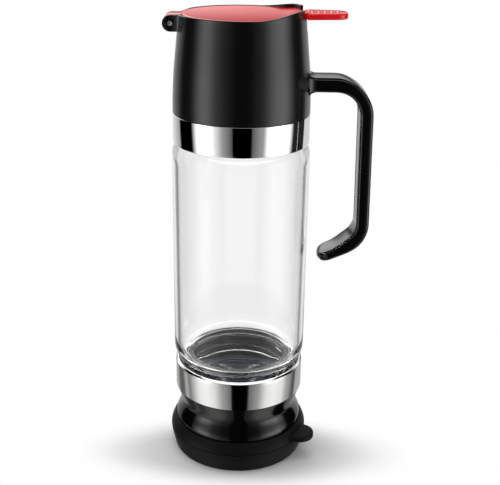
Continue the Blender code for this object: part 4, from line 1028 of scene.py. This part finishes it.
def makeHandle():
    rings = []
    for x, z, heading, thick, width in handleStations():
        outX, outZ = -math.sin(math.radians(heading)), math.cos(math.radians(heading))
        rings.append([Vector((mm(x + outX * out - drawBack(x, across)), mm(across),
                              mm(z + outZ * out)))
                      for out, across in roundedSection(thick, width)])
    deselectAll()
    bpy.ops.mesh.primitive_circle_add(vertices=len(rings[0]), radius=mm(5), fill_type="NGON")
    handle = bpy.context.object
    handle.name = "gripHandle"
    handle.data.name = "gripHandle"
    bpy.ops.object.mode_set(mode="EDIT")
    bpy.ops.mesh.select_all(action="SELECT")
    mesh = bmesh.from_edit_mesh(handle.data)
    for vertex, place in zip(mesh.verts, rings[0]):
        vertex.co = place
    bmesh.update_edit_mesh(handle.data)
    for before, after in zip(rings, rings[1:]):
        step = after[0] - before[0]
        bpy.ops.mesh.extrude_region_move(TRANSFORM_OT_translate={"value": step})
        mesh = bmesh.from_edit_mesh(handle.data)
        pairs = [(old + step, new) for old, new in zip(before, after)]
        for vertex in [v for v in mesh.verts if v.select]:
            nearest = min(pairs, key=lambda pair: (pair[0] - vertex.co).length_squared)
            vertex.co = nearest[1]
        bmesh.update_edit_mesh(handle.data)
    cleanMesh(merge=0.0001)
    leaveEdit()
    smoothShade(handle, angle=50)
    finishPiece(handle, "head", "handleBlack", ["handle"])
    print("handle done")


# Press lever: dished plate, hinge tongue, neck and ribbed paddle

leverValues = {
    "top": 240.85, "under": 237.3, "radius": 30.0, "topEdge": 0.8, "lowEdge": 0.3,
    # the dish in the plate, the boss under it and the fold towards the neck
    "dishRadius": 29.0, "dish": 0.75, "dishSteps": 24, "bossRadius": 2.5, "bossDepth": 1.0,
    "rise": 1.2, "riseStart": 18.5, "riseEnd": 28.5,
    "tongueHalf": 4.6, "tongueEdge": 0.25, "barrel": 4.0, "barrelFlat": 2.1,
    "tongue": [(-25.6, 237.7), (-25.6, 240.25), (-29.3, 240.8), (-31.6, 240.4)],
    "neckHalf": 4.5, "neckEdge": 0.35,
    "neck": [(27.8, 237.5), (30.6, 237.5), (31.7, 239.1), (34.45, 239.35), (34.45, 241.7),
             (31.1, 241.9), (29.0, 241.9), (27.8, 241.3)],
    "paddleX": 32.45, "paddleLength": 19.35, "paddleHalf": 9.7, "paddleTaper": 2.2,
    "paddleLow": 239.0, "paddleHigh": 242.0, "paddleRound": 6.0, "paddleEdge": 0.9,
    "ribs": 5, "ribStart": 1.55, "ribPitch": 3.15, "ribWidth": 1.8, "ribHeight": 0.65,
    "ribSink": 0.2, "ribSide": 1.3,
}


# The plate's handle side rises towards the neck, as a soft fold
def liftPlate(lever):
    values = leverValues
    start, low = values["riseStart"], values["under"] + 1
    editing(lever)
    mesh = bmesh.from_edit_mesh(lever.data)
    for vertex in mesh.verts:
        fold = eased((vertex.co.x * 1000 - start) / (values["riseEnd"] - start))
        height = (vertex.co.z * 1000 - low) / (values["top"] - 1 - low)
        vertex.co.z += mm(values["rise"] * max(0, min(1, height)) * fold)
    bmesh.update_edit_mesh(lever.data)
    leaveEdit()


def leverPlate():
    values = leverValues
    top, under, radius = values["top"], values["under"], values["radius"]
    steps, boss = values["dishSteps"], values["bossRadius"]
    outline = [(values["dishRadius"] * i / steps, top - values["dish"] * (1 - (i / steps) ** 2))
               for i in range(steps + 1)]
    outline += roundCorners([(values["dishRadius"], top), (radius, top, values["topEdge"]),
                             (radius, under, values["lowEdge"]), (boss, under),
                             (boss, under - values["bossDepth"], values["lowEdge"]),
                             (0, under - values["bossDepth"])])[1:]
    plate = turnedPiece("pressLever", outline, steps=192)
    liftPlate(plate)
    return plate


def addTongue(lever):
    values = leverValues
    pinX, pinZ = headValues["pin"]
    flatAngle = math.degrees(math.acos(values["barrelFlat"] / values["barrel"]))
    tongue = values["tongue"] + arcPoints((pinX, pinZ), values["barrel"], 90, 360 - flatAngle, 32)
    tongue += [(pinX + values["barrelFlat"], values["under"])]
    half = values["tongueHalf"]
    tonguePiece = slabPiece("leverTongue", tongue, "y", -half, half)
    combine(softenEdges(tonguePiece, values["tongueEdge"], segments=2), pinHole(), "DIFFERENCE")
    combine(lever, tonguePiece, "UNION")


def addPaddle(lever):
    values = leverValues
    half = values["neckHalf"]
    neckPiece = slabPiece("leverNeck", values["neck"], "y", -half, half)
    combine(lever, softenEdges(neckPiece, values["neckEdge"], segments=2), "UNION")

    paddleX, half, taper = values["paddleX"], values["paddleHalf"], values["paddleTaper"]
    corner = values["paddleRound"]
    side = values["paddleLength"] - corner
    roundY = half - taper - corner
    rootAngle = math.degrees(math.asin(half / paddleX))
    sideAngle = 90 - math.degrees(math.atan2(taper, side))
    plan = arcPoints((0, 0), paddleX, rootAngle, -rootAngle, 16)
    plan += arcPoints((paddleX + side, -roundY), corner, -sideAngle, 0, 12)
    plan += arcPoints((paddleX + side, roundY), corner, 0, sideAngle, 12)
    paddle = slabPiece("leverPaddle", plan, "z", values["paddleLow"], values["paddleHigh"])
    combine(lever, softenEdges(paddle, values["paddleEdge"], segments=5, angle=50), "UNION")
    ribZ, ribHeight = values["paddleHigh"] - values["ribSink"], values["ribHeight"]
    for index in range(values["ribs"]):
        along = values["ribStart"] + values["ribPitch"] * index
        ribHalf = half - values["ribSide"] - taper * min(1, along / side)
        deselectAll()
        bpy.ops.mesh.primitive_uv_sphere_add(segments=48, ring_count=32, radius=mm(1),
                                             location=(mm(paddleX + along), 0, mm(ribZ)))
        rib = bpy.context.object
        rib.scale = (values["ribWidth"] / 2, ribHalf, ribHeight + values["ribSink"])
        bpy.ops.object.transform_apply(location=True, rotation=True, scale=True)
        combine(lever, rib, "UNION")


def makeLever():
    lever = leverPlate()
    addTongue(lever)
    addPaddle(lever)
    smoothShade(lever, angle=38)
    finishPiece(lever, "press_lever", "redGloss", ["lever"])
    print("lever done")


# Valve spring: stands on the insert

springValues = {"radius": 5.3, "wire": 0.45, "turns": 6, "steps": 36, "stroke": 2.5}


def makeSpring():
    values = springValues
    wire, turns = values["wire"], values["turns"]
    low, high = [corner[2] * 1000 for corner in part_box("valve_spring")]
    section = arcPoints((values["radius"], low + wire), wire, 0, 330, 11)
    places = [(mm(r), 0, mm(z)) for r, z in section]
    spring = startVertex("valveSpring", places[0])
    drawOutline(spring, places)
    screwUp(spring, 2 * math.pi, (high - low - 2 * wire) / turns, values["steps"], turns)
    leaveEdit()
    smoothShade(spring, angle=60)
    finishPiece(spring, "head", "plainSteel", ["valve_spring"])
    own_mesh(spring)
    print("valve spring done")


# CAD nodes that keep their shape get a finish

keptNodes = {
    "softRubber": ["base_gasket", "head_gasket"],
    "darkInsert": ["neck_insert"],
    "satinBlack": ["deck_plate"],
    "silicone": ["valve_button", "valve_disc"],
    "plainSteel": ["insert_screw_1", "insert_screw_2", "insert_screw_3", "handle_screw_1",
                   "handle_screw_2", "valve_rod", "disc_retainer"],
}


def finishNodes():
    for finish, names in keptNodes.items():
        for name in names:
            node = nodes[name]
            node.data.materials.clear()
            node.data.materials.append(materials[finish])
    print("inner pieces finished")


makeCamera()
makeWorld()
makeFloor()
makeLamps()
makeFootCap()
makeCollar()
makeBands()
makeFunnel()
makeGlass()
makeHead()
makePin()
makeHandle()
makeLever()
makeSpring()
finishNodes()

bpy.context.scene.view_settings.view_transform = "Standard"
deselectAll()
